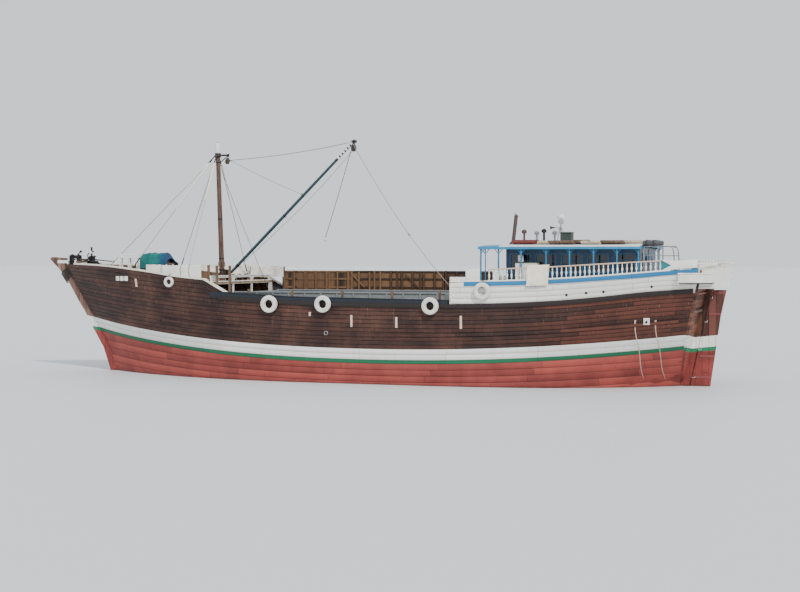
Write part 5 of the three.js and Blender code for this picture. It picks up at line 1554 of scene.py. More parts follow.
frame_pipes = []
for y in (2.75, 1.2):
    frame_pipes.append(drawn([(-13.54, y, POOP_DECK_Z), (-13.54, y, 6.0), (-13.54, y, 6.92),
                              (-13.64, y, 7.01), (-14.2, y, 7.012), (-14.86, y, 7.0), (-15.02, y, 6.9),
                              (-15.06, y, 6.0), (-15.06, y, POOP_DECK_Z)], 0.030, 12))
    frame_pipes.append(bar((-14.25, y, POOP_DECK_Z), (-14.25, y, 7.01), 0.030, 0.030, 12))
    frame_pipes.append(bar((-13.54, y, 6.55), (-15.05, y, 6.55), 0.02, 0.02, 10))
for x in (-13.54, -14.25, -14.9):
    frame_pipes.append(bar((x, 1.2, 7.006), (x, 2.75, 7.006), 0.026, 0.026, 10))
fit("raft_frame", frame_pipes, GALVANISED, "steel", ["raft_rack"])
raft = block((-14.3, 1.1, 7.045), (-13.48, 2.85, 7.30), 0.10, 5)
lashings = [block((x - 0.02, 1.07, 7.036), (x + 0.02, 2.88, 7.325), 0.006) for x in (-14.05, -13.7)]
fit("raft_cover", [smooth(raft, 45)], RAFT_GREY, "hold_timber", ["folded_raft"])
fit("raft_lashings", lashings, TARRED, "wire")
print("roof pieces:", 4 + len(VENTS) + len(DUNNAGE))

# %% [markdown]
# ## Mast
#
# The mast is one pole that leans a little forward. Its head is painted white above an iron band, and a
# crane of iron reaches aft from the band until it stands over the pin that the derrick slews on, so that
# the lifts hang from a point that does not move when the boom swings.

# %% Mast head
MAST_X, MAST_FOOT, MAST_LEAN = 10.5, 5.1833, math.radians(2)
MAST_BAND = 12.15
SLEW_X, HEEL_Z, LUFF_X = 10.1, 5.62, 9.96
LIFT_Z = 12.06
TIP = Vector((2.58, 0, 12.77))
HEEL = Vector((LUFF_X, 0, HEEL_Z))


def mast_at(z):
    return Vector((MAST_X + (z - MAST_FOOT) * math.tan(MAST_LEAN), 0, z))


def along_boom(share, below=0.0):
    """A point on the boom's axis, or that far under it."""
    run = (TIP - HEEL).normalized()
    under = Vector((0, 1, 0)).cross(run).normalized()
    if under.z > 0:
        under = -under
    return HEEL.lerp(TIP, share) + under * below


repaint("mast", POLE)
white_head = lathed([(0, 0.132), (0.02, 0.138), (0.9, 0.132), (0.97, 0.12), (1, 0.05)], mast_at(12.27),
                    mast_at(12.862), 28)
fit("mast_head_paint", [white_head], WHITE_TRIM, "white_paint")
irons = [lathed([(0, 0.162), (0.06, 0.17), (0.94, 0.17), (1, 0.162)], mast_at(12.03), mast_at(12.27), 28)]
irons.append(lathed([(0, 0.142), (0.5, 0.148), (1, 0.142)], mast_at(11.72), mast_at(11.78), 28))
irons.append(beam(mast_at(12.15) + Vector((-0.12, 0, 0)), (SLEW_X - 0.025, 0, 12.15), 0.078, 0.098, 0.012))
irons.append(beam(mast_at(11.75) + Vector((-0.12, 0, 0)), (SLEW_X + 0.03, 0, 12.11), 0.05, 0.05, 0.01))
irons.append(lathed([(0, 0.052), (0.2, 0.058), (0.8, 0.058), (1, 0.052)], (SLEW_X, 0, 12.065),
                    (SLEW_X, 0, 12.225), 16))
for z in (5.62, 6.4, 8.6):
    half = 0.152 - 0.004 * (z - 5.2)
    irons.append(lathed([(0, half), (0.5, half + 0.008), (1, half)], mast_at(z - 0.04), mast_at(z + 0.04),
                        28))
fit("mast_irons", irons, IRON, "steel")
cleats = []
for angle in (60, 120, 240, 300):
    away = Vector((math.cos(math.radians(angle)), math.sin(math.radians(angle)), 0))
    side_way = Vector((-away.y, away.x, 0))
    base = mast_at(6.1) + away * 0.15
    cleats.append(beam(base - away * 0.03, base + away * 0.05, 0.05, 0.07, 0.01))
    cleats.append(beam(base + away * 0.06 - Vector((0, 0, 0.14)), base + away * 0.06 + Vector((0, 0, 0.14)),
                       0.035, 0.035, 0.012, up=tuple(side_way)))
fit("mast_cleats", cleats, ROUGH, "hold_timber")
print("crane reaches to x =", SLEW_X)

# %% [markdown]
# ## Blocks
#
# A block is two rounded cheeks with a sheave between them, an iron strap round the outside and an eye at
# its head. One function makes it at any size, hanging from its eye.

# %% Blocks and hooks
def pulley(eye, size, turn=0.0, lean=0.0):
    """A block that hangs from its eye: its wooden cheeks, and its iron."""
    wood, metal = [], []
    for side in (1, -1):
        cheek = lathed([(0, 0.40), (0.3, 0.5), (0.75, 0.5), (1, 0.38)], (0, side * 0.10, 0),
                       (0, side * 0.26, 0), 20)
        cheek.data.transform(Matrix.Diagonal((0.8, 1, 1.15, 1)))
        wood.append(cheek)
    metal.append(lathed([(0, 0.42), (0.3, 0.42), (0.5, 0.36), (0.7, 0.42), (1, 0.42)], (0, -0.09, 0),
                        (0, 0.09, 0), 20))
    metal.append(bar((0, -0.3, 0), (0, 0.3, 0), 0.07, 0.07, 10))
    for side in (1, -1):
        metal.append(beam((0, side * 0.275, -0.5), (0, side * 0.275, 0.62), 0.035, 0.12, 0.008, up=(1, 0, 0)))
    metal.append(beam((0, -0.29, 0.62), (0, 0.29, 0.62), 0.12, 0.035, 0.008, up=(0, 0, 1)))
    metal.append(drawn([(0, 0, 0.62), (0.12, 0, 0.7), (0.12, 0, 0.86), (0, 0, 0.94), (-0.12, 0, 0.86),
                        (-0.12, 0, 0.7)], 0.035, 8, True))
    place = Matrix.Translation(eye) @ Matrix.Rotation(turn, 4, "Z") @ Matrix.Rotation(lean, 4, "Y") @ \
        Matrix.Scale(size, 4) @ Matrix.Translation((0, 0, -0.9))
    for piece in (*wood, *metal):
        piece.data.transform(place)
    return wood, metal


def hook(eye, size):
    """A cargo hook with its weight, hanging from an eye."""
    eye = Vector(eye)
    weight = [(0, 0.06), (0.1, 0.12), (0.45, 0.2), (0.8, 0.17), (1, 0.05)]
    parts = [lathed([(s, r * size) for s, r in weight], eye - Vector((0, 0, 0.62 * size)), eye, 20)]
    bend = [(0, -0.6), (0, -0.82), (0.12, -0.92), (0.24, -1.06), (0.16, -1.26), (-0.04, -1.32), (-0.2, -1.2),
            (-0.22, -1.05)]
    parts.append(drawn([eye + Vector((x * size, 0, z * size)) for x, z in bend], 0.055 * size, 10))
    return parts


wood, metal = pulley((SLEW_X, 0, LIFT_Z + 0.02), 0.30, 0.0, math.radians(-12))
fit("lift_block_cheeks", wood, BLOCK_WOOD, "hold_timber", body="derrick_heel")
fit("lift_block_iron", metal, IRON, "steel", body="derrick_heel")

# %% [markdown]
# ## Derrick boom
#
# The boom is a long tapering spar that pivots at its heel. Its outer end is banded in white and teal. The
# rings, the end cap and the blocks at its tip all ride on the boom.

# %% Derrick boom
SPAR_FROM = 0.045


def spar_radius(share):
    return mix(0.0815, 0.0635, share)


repaint("derrick_boom", BOOM_TEAL)
repaint("derrick_heel", IRON)
repaint("gooseneck", IRON)
spar = lathed([(0, spar_radius(0)), (0.3, 0.088), (0.7, 0.080), (1, spar_radius(1))], along_boom(SPAR_FROM),
              along_boom(0.982), 28)
fit("boom_spar", [spar], BOOM_TEAL, "boom_paint", body="derrick_boom")
WHITE_BANDS = 6
bands = []
for i in range(WHITE_BANDS):
    share = 0.868 + i * 0.0205
    radius = spar_radius(share) + 0.012
    bands.append(lathed([(0, radius - 0.006), (0.06, radius), (0.94, radius), (1, radius - 0.006)],
                        along_boom(share), along_boom(share + 0.0115), 28))
fit("boom_white_bands", bands, WHITE_TRIM, "white_paint", body="derrick_boom")
fittings = []
for share, extra, wide in ((0.055, 0.02, 0.006), (0.44, 0.018, 0.004), (0.59, 0.018, 0.004),
                           (0.855, 0.016, 0.003), (0.994, 0.03, 0.006)):
    radius = spar_radius(share) + extra
    fittings.append(lathed([(0, radius - 0.008), (0.2, radius), (0.8, radius), (1, radius - 0.008)],
                           along_boom(share - wide), along_boom(share + wide), 28))
for share, lift in ((0.985, -0.11), (0.985, 0.11), (0.59, -0.11), (0.44, 0.11)):
    fittings.append(ring_of(along_boom(share, lift), 0.05, 0.013))
fit("boom_rings", fittings, IRON, "steel", body="derrick_boom")
BLOCK_HANG = along_boom(0.99124) - Vector((0, 0, 0.024))
tip_wood, tip_metal = pulley(BLOCK_HANG, 0.34, 0.0, 0.0)
second_wood, second_metal = pulley(along_boom(0.972, -0.13) + Vector((-0.06, 0, 0.02)), 0.24, 0.0,
                                   math.radians(100))
fit("tip_block_cheeks", [*tip_wood, *second_wood], BLOCK_WOOD, "hold_timber", body="derrick_boom")
fit("tip_block_iron", [*tip_metal, *second_metal], IRON, "steel", body="derrick_boom")
print("boom length:", round((TIP - HEEL).length, 2), "m")

# %% [markdown]
# ## Stays
#
# The mast stands by five wires: one to the stem, two to the bows and one to each rail. Each is served with
# white canvas for a fathom or two below the mast, bare wire below that, and is set up at its foot with a
# bottle screw in a shackle.

# %% Stays
# node, foot x, foot y, foot height, share of the length that is served
STAYS = (
    ("forestay", 18.2, 0.0, foredeck_top(18.2), 0.26),
    ("fore_stay_port", 14.5, 2.82, rail_top(14.5) + 0.10, 0.42),
    ("fore_stay_starboard", 14.5, -2.82, rail_top(14.5) + 0.10, 0.42),
    ("shroud_port", 10.75, 3.85, rail_top(10.75) + 0.10, 0.32),
    ("shroud_starboard", 10.75, -3.85, rail_top(10.75) + 0.10, 0.30),
)
for node, x, y, z, served in STAYS:
    foot = Vector((x, y, z + 0.09))
    head = mast_at(MAST_BAND) + (Vector((x, y, 0)) - Vector((MAST_X, 0, 0))).normalized() * 0.19
    head.z = MAST_BAND - 0.04
    start, stop = foot.lerp(head, 0.94), foot.lerp(head, 0.94 - served)
    soft = [(0, 0.018), (0.015, 0.050), (0.25, 0.056), (0.55, 0.050), (0.985, 0.040), (1, 0.018)]
    serving = lathed(soft, start, stop, 14)
    fit(f"{node}_serving", [serving], ROPE_WHITE, "wire")
    wire = [bar(foot.lerp(head, 0.08), head, 0.018, 0.018, 8)]
    fit(f"{node}_wire", wire, GALVANISED, "wire", [node])
    metal = [bar(foot, foot.lerp(head, 0.02), 0.012, 0.012, 8),
             bar(foot.lerp(head, 0.075), foot.lerp(head, 0.095), 0.012, 0.012, 8)]
    screw = [(0, 0.022), (0.1, 0.036), (0.2, 0.030), (0.8, 0.030), (0.9, 0.036), (1, 0.022)]
    metal.append(lathed(screw, foot.lerp(head, 0.018), foot.lerp(head, 0.078), 14))
    metal.append(block((x - 0.05, y - 0.05, z - 0.01), (x + 0.05, y + 0.05, z + 0.015), 0.006))
    metal.append(ring_of(foot - Vector((0, 0, 0.03)), 0.045, 0.013, (0, 1, 0)))
    strop = [mast_at(MAST_BAND).lerp(head, 0.7), head, foot.lerp(head, 0.955), foot.lerp(head, 0.94)]
    metal.append(drawn(strop, 0.03, 10))
    fit(f"{node}_fittings", metal, IRON, "steel")
print("stays:", len(STAYS))

# %% [markdown]
# ## Lifts, fall and guy
#
# The lifts run from the crane, where the slewing heel carries their block, to the boom, and sag a little. The
# cargo fall hangs from the tip block with its hook. One guy leads from the boom's tip down to the port rail:
# it is made in two lengths that meet in a ring over the heel's axis of turning, because the rail and the boom
# swing apart.

# %% Running rigging
TOP_PIN = Vector((SLEW_X - 0.06, 0, LIFT_Z - 0.2))


def line_between(name, points, radius, finish):
    piece = joined(name, [drawn(points, radius, 8)])
    piece.data.materials.append(finish)
    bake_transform(piece)
    triangles[piece.name] = sum(len(face.vertices) - 2 for face in piece.data.polygons)
    return piece


lift_end = along_boom(0.972, -0.14)
for number, shift in ((1, 0.035), (2, -0.035)):
    offset = Vector((0, shift, 0))
    line_between(f"topping_lift_{number}", [p + offset for p in sag(TOP_PIN, lift_end, 0.12, 12)], 0.015,
                 GALVANISED)
line_between("second_lift", sag(TOP_PIN + Vector((0, 0, 0.03)), along_boom(0.59, -0.11), 0.07, 12), 0.015,
             GALVANISED)
RUNNER = [along_boom(0.985, 0.3), along_boom(0.8, 0.38), along_boom(0.6, 0.42), along_boom(0.44, 0.36),
          along_boom(0.25, 0.24), along_boom(0.09, 0.12)]
fit("cargo_runner", [drawn(RUNNER, 0.014, 8)], ROPE, "wire", body="derrick_boom")
FALL_HEAD = BLOCK_HANG + Vector((0.125, 0, -0.36))
FALL_FOOT = Vector((4.30, 0, 7.52))
fit("cargo_fall", [drawn(sag(FALL_HEAD, FALL_FOOT, 0.05, 8), 0.018, 8)], TARRED, "wire", body="derrick_boom")
fit("cargo_hook", hook(FALL_FOOT + Vector((0, 0, 0.03)), 0.34), WHITE_TRIM, "steel", body="derrick_boom")

GUY_FOOT, GUY_RING = Vector((-4.12, 4.30, 5.02)), Vector((-1.45, 2.75, 7.63))
GUY_HEAD = along_boom(0.985, -0.11)
line_between("guy_tackle", sag(GUY_FOOT, GUY_RING, 0.06, 8), 0.015, ROPE)
line_between("guy_pendant", sag(GUY_RING, GUY_HEAD, 0.16, 12), 0.015, ROPE)
fit("guy_ring", [ring_of(GUY_RING, 0.045, 0.012)], IRON, "steel", body="derrick_heel")
plate = [block((-4.19, 4.24, 4.93), (-4.165, 4.36, 5.09), 0.004),
         drawn([(-4.17, 4.30, 4.98), (-4.12, 4.30, 4.97), (-4.09, 4.30, 5.01), (-4.12, 4.30, 5.05),
                (-4.17, 4.30, 5.04)], 0.012, 8)]
fit("guy_eye", plate, IRON, "steel")

HAUL_HEAD, HAUL_FOOT = Vector((10.58, -0.15, 11.3)), Vector((8.26, -1.3, 4.66))
fit("hauling_line", [drawn(sag(HAUL_HEAD, HAUL_FOOT, 0.1, 10), 0.013, 8)], TARRED, "wire")
print("running lines ready")

# %% [markdown]
# ## Forecastle
#
# White weather boards stand on the rail abreast of the mast, and a white wall with three wide openings
# closes the waist below. A barrel windlass turns between two cheeks. Farther forward are mooring bitts,
# three four-armed anchors, a hand winch and the bow roller.

# %% Weather boards, break arches and cargo winch
SCREEN_AFT, SCREEN_FORE, SCREEN_TOP = 9.75, 13.45, 6.05


def on_rail(side, inboard):
    """Places points over the forecastle's rail: along the ship, inboard of its outer edge."""
    return lambda x: side * (half_breadth(x, rail_top(x)) - inboard)


for hand, side in PORT_AND_STARBOARD:
    place = on_rail(side, 0.06)
    screen = sheet_of(24, 6, lambda u, v: (
        mix(SCREEN_AFT, SCREEN_FORE, u), place(mix(SCREEN_AFT, SCREEN_FORE, u)),
        mix(rail_top(mix(SCREEN_AFT, SCREEN_FORE, u)) + CAP_DEPTH, SCREEN_TOP + 0.02 * math.sin(9 * u), v)),
        flip=side > 0)
    thicken(screen, 0.03)
    eased(screen, 0.006)
    parts = [smooth(screen, 40)]
    for x in spread(SCREEN_AFT + 0.05, SCREEN_FORE - 0.05, 9):
        parts.append(block((x - 0.03, place(x) - side * 0.03, rail_top(x) + CAP_DEPTH),
                           (x + 0.03, place(x) - side * 0.09, SCREEN_TOP + 0.03), 0.008))
    fit(f"weather_boards_{hand}", parts, WHITE_TRIM, "white_paint")
    ropes = []
    for x in (11.0, 10.45, 12.3):
        y = place(x) + side * 0.012
        ropes.append(drawn([(x, place(x) - side * 0.05, SCREEN_TOP + 0.05),
                            (x + 0.02, y + side * 0.02, SCREEN_TOP + 0.02),
                            (x + 0.1, y, mix(rail_top(x), SCREEN_TOP, 0.5)),
                            (x + 0.02, y, rail_top(x) + 0.11)], 0.011, 6))
    fit(f"screen_lashings_{hand}", ropes, TARRED, "wire")

# Three wide openings with rounded corners, cut through a white wall that stands a little over the deck.
WALL_X, WALL_THICK, WALL_HALF, WALL_LOW, WALL_HIGH = 9.225, 0.07, 4.0, 3.87, 5.44
ARCH_MIDDLES, ARCH_HALF, ARCH_LOW, ARCH_HIGH, ARCH_ROUND = (-2.42, 0, 2.42), 1.15, 3.98, 5.37, 0.30
BAR_LOW, BAR_HIGH = 5.02, 5.19
wall = block((WALL_X, -WALL_HALF, WALL_LOW), (WALL_X + WALL_THICK, WALL_HALF, WALL_HIGH), 0.006)
for middle in ARCH_MIDDLES:
    opening = block((WALL_X - 0.5, middle - ARCH_HALF, ARCH_LOW),
                    (WALL_X + 0.5, middle + ARCH_HALF, ARCH_HIGH), ARCH_ROUND, 6)
    modify(wall, "BOOLEAN", object=opening, operation="DIFFERENCE", solver="EXACT")
    bpy.data.objects.remove(opening)
    pick(wall)
rails = [outward(wall), block((WALL_X - 0.03, -WALL_HALF, WALL_HIGH),
                              (WALL_X + 0.09, WALL_HALF, WALL_HIGH + 0.05), 0.015),
         block((WALL_X - 0.02, -WALL_HALF + 0.02, BAR_LOW), (WALL_X + 0.068, WALL_HALF - 0.02, BAR_HIGH),
               0.012)]
fit("break_arches", rails, WHITE_TRIM, "white_paint", ["forecastle_bulkhead"])

# A cargo winch with two warping drums lies low abaft the mast, under the boom's sweep.
DRUM_X, DRUM_Z, DRUM_IN, DRUM_OUT, AXLE_HALF = 9.62, 5.37, 0.42, 1.15, 1.2
drum = [(0, 0.14), (0.04, 0.17), (0.1, 0.10), (0.2, 0.085), (0.8, 0.085), (0.9, 0.10), (0.96, 0.17),
        (1, 0.14)]
cargo_winch = [block((DRUM_X - 0.2, -0.95, foredeck_top(9.6)),
                     (DRUM_X + 0.24, 0.95, foredeck_top(9.6) + 0.07), 0.012)]
for side in (1, -1):
    inner, outer = (DRUM_X, side * DRUM_IN, DRUM_Z), (DRUM_X, side * DRUM_OUT, DRUM_Z)
    cargo_winch.append(lathed(drum, inner, outer, 20))
    cargo_winch.append(block((DRUM_X - 0.12, side * (DRUM_IN - 0.06), 5.2),
                             (DRUM_X + 0.16, side * DRUM_IN, 5.50), 0.02))
cargo_winch.append(bar((DRUM_X, -AXLE_HALF, DRUM_Z), (DRUM_X, AXLE_HALF, DRUM_Z), 0.03, 0.03, 12))
fit("cargo_winch", cargo_winch, WINCH_BLACK, "steel")

# finish, and the solids that keep their shape under it
REPAINTED = (
    (WHITE_PLAIN, "poop_bulkhead"),
    (DECK, "main_deck", "foredeck", "poop_deck"),
    (CABIN_INSIDE, "forecastle_side_port", "forecastle_side_starboard"),
    (CABIN_BLUE, "cabin_wall_port", "cabin_wall_starboard", "cabin_front", "cabin_back", "cabin_door"),
    (WHITE_TRIM, "stern_gallery"),
    (BRONZE, "propeller"),
    (IRON, "propeller_shaft", "engine"),
    (BOTTOM_CORE, "hull_bottom"),
    (HULL_CORE, "hull_painted_strakes", "hull_topsides"),
    (HOLD_BOARDS, "hold_boards"),
    (POLE, "windlass_frame", "helm_pedestal", "steering_wheel", "windlass_drum"),
)
for finish, *kept in REPAINTED:
    for node in kept:
        repaint(node, finish)
print("bulkhead and solids painted")

# %% Windlass and bitts
WINDLASS_X, WINDLASS_Z = 17.0, 5.7324
whelps = []
for k in range(10):
    angle = k * math.tau / 10
    centre = Vector((WINDLASS_X + 0.172 * math.cos(angle), 0, WINDLASS_Z + 0.172 * math.sin(angle)))
    whelp = beam(centre - Vector((0, 0.66, 0)), centre + Vector((0, 0.66, 0)), 0.05, 0.035, 0.01,
                 up=(math.cos(angle), 0, math.sin(angle)))
    whelps.append(whelp)
for y in (-0.62, -0.2, 0.2, 0.62):
    whelps.append(lathed([(0, 0.185), (0.3, 0.195), (0.7, 0.195), (1, 0.185)],
                         (WINDLASS_X, y - 0.03, WINDLASS_Z), (WINDLASS_X, y + 0.03, WINDLASS_Z), 24))
for side in (1, -1):
    head = [(0, 0.14), (0.15, 0.16), (0.4, 0.10), (0.8, 0.10), (1, 0.155)]
    whelps.append(lathed(head, (WINDLASS_X, side * 0.84, WINDLASS_Z), (WINDLASS_X, side * 1.02, WINDLASS_Z),
                         20))
fit("windlass_whelps", whelps, ROUGH, "mast_timber", body="windlass_drum")
turns = []
for k in range(6):
    y = -0.05 + k * 0.047
    turns.append(lathed([(0, 0.198), (0.25, 0.213), (0.5, 0.219), (0.75, 0.213), (1, 0.198)],
                        (WINDLASS_X, y - 0.022, WINDLASS_Z), (WINDLASS_X, y + 0.022, WINDLASS_Z), 28, 60))
fit("windlass_rope_turns", turns, ROPE, "wire", body="windlass_drum")

# x of the pair, and how far each post stands from the middle
BITTS = ((15.9, 0.5), (18.05, 0.42))
bitts = []
for x, apart in BITTS:
    z = foredeck_top(x + 0.085)
    for y in (apart, -apart):
        bitts.append(block((x - 0.088, y - 0.088, z), (x + 0.088, y + 0.088, z + 0.722), 0.02))
        bitts.append(block((x - 0.105, y - 0.105, z + 0.60), (x + 0.105, y + 0.105, z + 0.66), 0.015))
    reach = apart + 0.203
    bitts.append(block((x - 0.05, -reach, z + 0.355), (x + 0.05, reach, z + 0.485), 0.02))
fit("mooring_bitts", bitts, ROUGH, "hold_timber", ["bitts_aft", "bitts_fore"])


def anchor(crown, ring_end, roll):
    """A four-armed anchor, as dhows carry, from its crown to its ring."""
    crown, ring_end = Vector(crown), Vector(ring_end)
    length = (ring_end - crown).length
    parts = [bar((0, 0, 0), (length, 0, 0), 0.035, 0.028, 12)]
    for k in range(4):
        angle = k * math.tau / 4 + roll
        across = Vector((0, math.cos(angle), math.sin(angle)))
        bend = [Vector((0.02, 0, 0)), Vector((-0.06, 0, 0)) + across * 0.2,
                Vector((0.06, 0, 0)) + across * 0.38, Vector((0.26, 0, 0)) + across * 0.46]
        parts.append(drawn(bend, 0.03, 10))
        fluke = turned([(0, 0.02), (0.2, 0.085), (1, 0.012)], bend[3] - Vector((0.1, 0, 0)),
                       bend[3] + Vector((0.1, 0, 0)) + across * 0.02, 4)
        parts.append(smooth(fluke, 20))
    parts.append(ring_of(Vector((length + 0.06, 0, 0)), 0.07, 0.014, (0, 1, 0)))
    aim = (ring_end - crown).to_track_quat("X", "Z").to_matrix().to_4x4()
    for piece in parts:
        piece.data.transform(Matrix.Translation(crown) @ aim)
    return parts


# %% Anchors and winch
BEAM_X, BEAM_LOW, BEAM_HIGH = 19.1, 6.155, 6.27
cat_beam = block((BEAM_X - 0.06, -1.16, BEAM_LOW), (BEAM_X + 0.06, 1.16, BEAM_HIGH), 0.015)
fit("cat_beam", [cat_beam], ROUGH, "hold_timber")
anchors = anchor((19.48, 0.36, 6.36), (17.95, 0.98, 6.20), 0.0)
anchors += anchor((17.75, -1.30, foredeck_top(17.9) + 0.36), (16.4, -1.62, foredeck_top(16.4) + 0.04),
                  math.radians(45))
anchors += anchor((19.40, -0.62, 6.38), (18.0, -1.02, 6.22), math.radians(20))
fit("grapnel_anchors", anchors, IRON, "steel")

# The bow roller leads the anchor rope over the stem head.
ROLLER_X, ROLLER_Z, ROLLER_HALF = 19.86, 6.50, 0.36
barrel = [(0, 0.15), (0.06, 0.15), (0.12, 0.105), (0.5, 0.09), (0.88, 0.105), (0.94, 0.15), (1, 0.15)]
roller = [lathed(barrel, (ROLLER_X, -ROLLER_HALF, ROLLER_Z), (ROLLER_X, ROLLER_HALF, ROLLER_Z), 24),
          bar((ROLLER_X, -ROLLER_HALF - 0.1, ROLLER_Z), (ROLLER_X, ROLLER_HALF + 0.1, ROLLER_Z), 0.03, 0.03,
              12)]
for side in (1, -1):
    y = side * (ROLLER_HALF + 0.05)
    roller.append(block((ROLLER_X - 0.16, y - 0.03, rail_top(ROLLER_X) - 0.1),
                        (ROLLER_X + 0.16, y + 0.03, ROLLER_Z + 0.09), 0.03))
fit("bow_roller", roller, WINCH_BLACK, "steel")

WINCH_X, WINCH_FOOT = 18.6, foredeck_top(18.95)
AXLE = WINCH_FOOT + 0.65
winch = [block((18.35, -0.34, WINCH_FOOT), (18.95, 0.34, WINCH_FOOT + 0.082), 0.015)]
for y in (-0.3, 0.3):
    winch.append(block((WINCH_X - 0.152, y - 0.032, WINCH_FOOT + 0.04),
                       (WINCH_X + 0.152, y + 0.032, AXLE + 0.162), 0.02))
    winch.append(lathed([(0, 0.21), (0.3, 0.22), (1, 0.18)], (WINCH_X, y * 0.88, AXLE),
                        (WINCH_X, y * 0.78, AXLE), 24))
winch.append(lathed([(0, 0.152), (0.5, 0.148), (1, 0.152)], (WINCH_X, -0.29, AXLE), (WINCH_X, 0.29, AXLE),
                    24))
for y in (-0.4, 0.4):
    winch.append(lathed([(0, 0.04), (0.5, 0.048), (1, 0.03)], (WINCH_X, y * 0.72, AXLE), (WINCH_X, y, AXLE),
                        16))
wheel = [(0, 0.30), (0.1, 0.304), (0.9, 0.304), (0.93, 0.25), (0.96, 0.12), (1, 0.08)]
winch.append(lathed(wheel, (WINCH_X, 0.34, AXLE), (WINCH_X, 0.405, AXLE), 28, 30))
winch.append(block((WINCH_X + 0.058, -0.203, WINCH_FOOT + 0.04), (18.933, 0.103, AXLE + 0.552), 0.04, 3))
winch.append(block((WINCH_X + 0.04, -0.215, AXLE + 0.2), (18.94, 0.115, AXLE + 0.25), 0.01))
winch.append(lathed([(0, 0.052), (0.88, 0.052), (0.9, 0.066), (1, 0.066)], (18.83, -0.05, AXLE + 0.5),
                    (18.83, -0.05, AXLE + 1.055), 16))
fit("winch_iron", winch, WINCH_BLACK, "steel", ["anchor_winch"])
lamp = [(0, 0.05), (0.15, 0.085), (0.8, 0.09), (1, 0.05)]
fit("bow_lamp", [lathed(lamp, (18.83, -0.02, 6.74), (18.83, 0.13, 6.74), 20)], WHITE_TRIM, "white_paint")
print("foredeck iron:", len(anchors) + len(winch))

# %% [markdown]
# ## Rack and rail
#
# A white plank rack stands by the port rail of the forecastle. On the starboard side a pole on two posts
# takes cloths that are hung up to dry.

# %% Rack and drying rail
RACK_POSTS, RACK_IN, RACK_OUT, RACK_TOP = (14.66, 15.19, 15.72), 1.9, 2.2, 6.44
rack = []
for x in RACK_POSTS:
    for y in (RACK_IN, RACK_OUT - 0.07):
        rack.append(block((x - 0.035, y, foredeck_top(x)), (x + 0.035, y + 0.07, RACK_TOP), 0.01))
for z in (RACK_TOP - 0.01, RACK_TOP + 0.13):
    rack.append(block((RACK_POSTS[0] - 0.1, RACK_IN - 0.02, z),
                      (RACK_POSTS[-1] + 0.1, RACK_OUT + 0.02, z + 0.075), 0.012))
fit("plank_rack", rack, WHITE_TRIM, "white_paint")
DRYING_AFT, DRYING_FORE, DRYING_Y, DRYING_Z, DRYING_POLE = 8.3, 10.52, -3.72, 5.90, 0.035
posts = [bar((DRYING_AFT, DRYING_Y, DRYING_Z), (DRYING_FORE, DRYING_Y, DRYING_Z), DRYING_POLE, DRYING_POLE,
             12)]
for x, z in ((DRYING_AFT + 0.06, DECK_Z), (DRYING_FORE - 0.06, foredeck_top(DRYING_FORE - 0.06))):
    posts.append(block((x - 0.04, DRYING_Y - 0.04, z), (x + 0.04, DRYING_Y + 0.04, DRYING_Z + 0.02), 0.012))
fit("drying_rail", posts, ROUGH, "hold_timber")
print("rack planks: 2")

# %% [markdown]
# ## Stem head
#
# The stem carries on past the rails in a carved beak. A dark lashing goes round its throat, and the first
# white block of the cap rail sits on top of it.

# %% Stem head
beak = [
    block((20.25, -0.2, 6.12), (20.95, 0.2, 6.30), 0.03),
    block((19.3, -0.26, 6.03), (20.3, 0.26, 6.14), 0.03),
]
fit("beak_cap", beak, WHITE_TRIM, "white_paint")
lashing = []
for k in range(7):
    x, z = 20.02 + 0.055 * k, 5.28 + 0.075 * k
    low, high = Vector((x + 0.42, 0, z - 0.32)), Vector((x - 0.28, 0, z + 0.52))
    lashing.append(drawn([low, (x + 0.30, 0.205, z - 0.16), (x, 0.215, z + 0.12), (x - 0.2, 0.205, z + 0.4),
                          high, (x - 0.2, -0.205, z + 0.4), (x, -0.215, z + 0.12),
                          (x + 0.30, -0.205, z - 0.16)], 0.032, 8, True))
fit("stem_lashing", lashing, TARRED, "wire")
for hand, side in PORT_AND_STARBOARD:
    plates = []
    for x in (15.62, 15.28, 14.94):
        y = side * (half_breadth(x, 5.3) + 0.05)
        lean = math.atan((half_breadth(x - 0.1, 5.3) - half_breadth(x + 0.1, 5.3)) / 0.2)
        plate = block((-0.14, -0.014, -0.13), (0.14, 0.014, 0.13), 0.006)
        plate.data.transform(Matrix.Translation((x, y, 5.30)) @ Matrix.Rotation(-side * lean, 4, "Z"))
        plates.append(plate)
    fit(f"bare_bow_plates_{hand}", plates, WHITE_TRIM, "white_paint")
print("stem head ready")

# %% [markdown]
# ## Waist
#
# A timber coaming stands round the open hold. Planks on stanchions raise the starboard side, so that deck
# cargo can be stowed against them, and a few posts stand in the port rail for lashing.

# %% Hatch, stanchions and shelf
HOLD_AFT, HOLD_FORE, HOLD_HALF, COAMING, COAMING_TOP = -3.2, 8.2, 2.7, 0.13, 4.6
COAMING_FOOT = 3.881
HOLD_FLOOR = -1.2
coaming = []
for side in (1, -1):
    coaming.append(block((HOLD_AFT - COAMING, side * HOLD_HALF, COAMING_FOOT),
                         (HOLD_FORE + COAMING, side * (HOLD_HALF + COAMING), COAMING_TOP), 0.02))
    coaming.append(block((HOLD_AFT - 0.18, side * (HOLD_HALF - 0.02), COAMING_TOP - 0.02),
                         (HOLD_FORE + 0.18, side * (HOLD_HALF + 0.19), COAMING_TOP + 0.05), 0.02))
    for x in spread(HOLD_AFT + 0.2, HOLD_FORE - 0.2, 13):
        coaming.append(block((x - 0.05, side * (HOLD_HALF + COAMING - 0.01), COAMING_FOOT),
                             (x + 0.05, side * (HOLD_HALF + 0.18), COAMING_TOP - 0.02), 0.01))
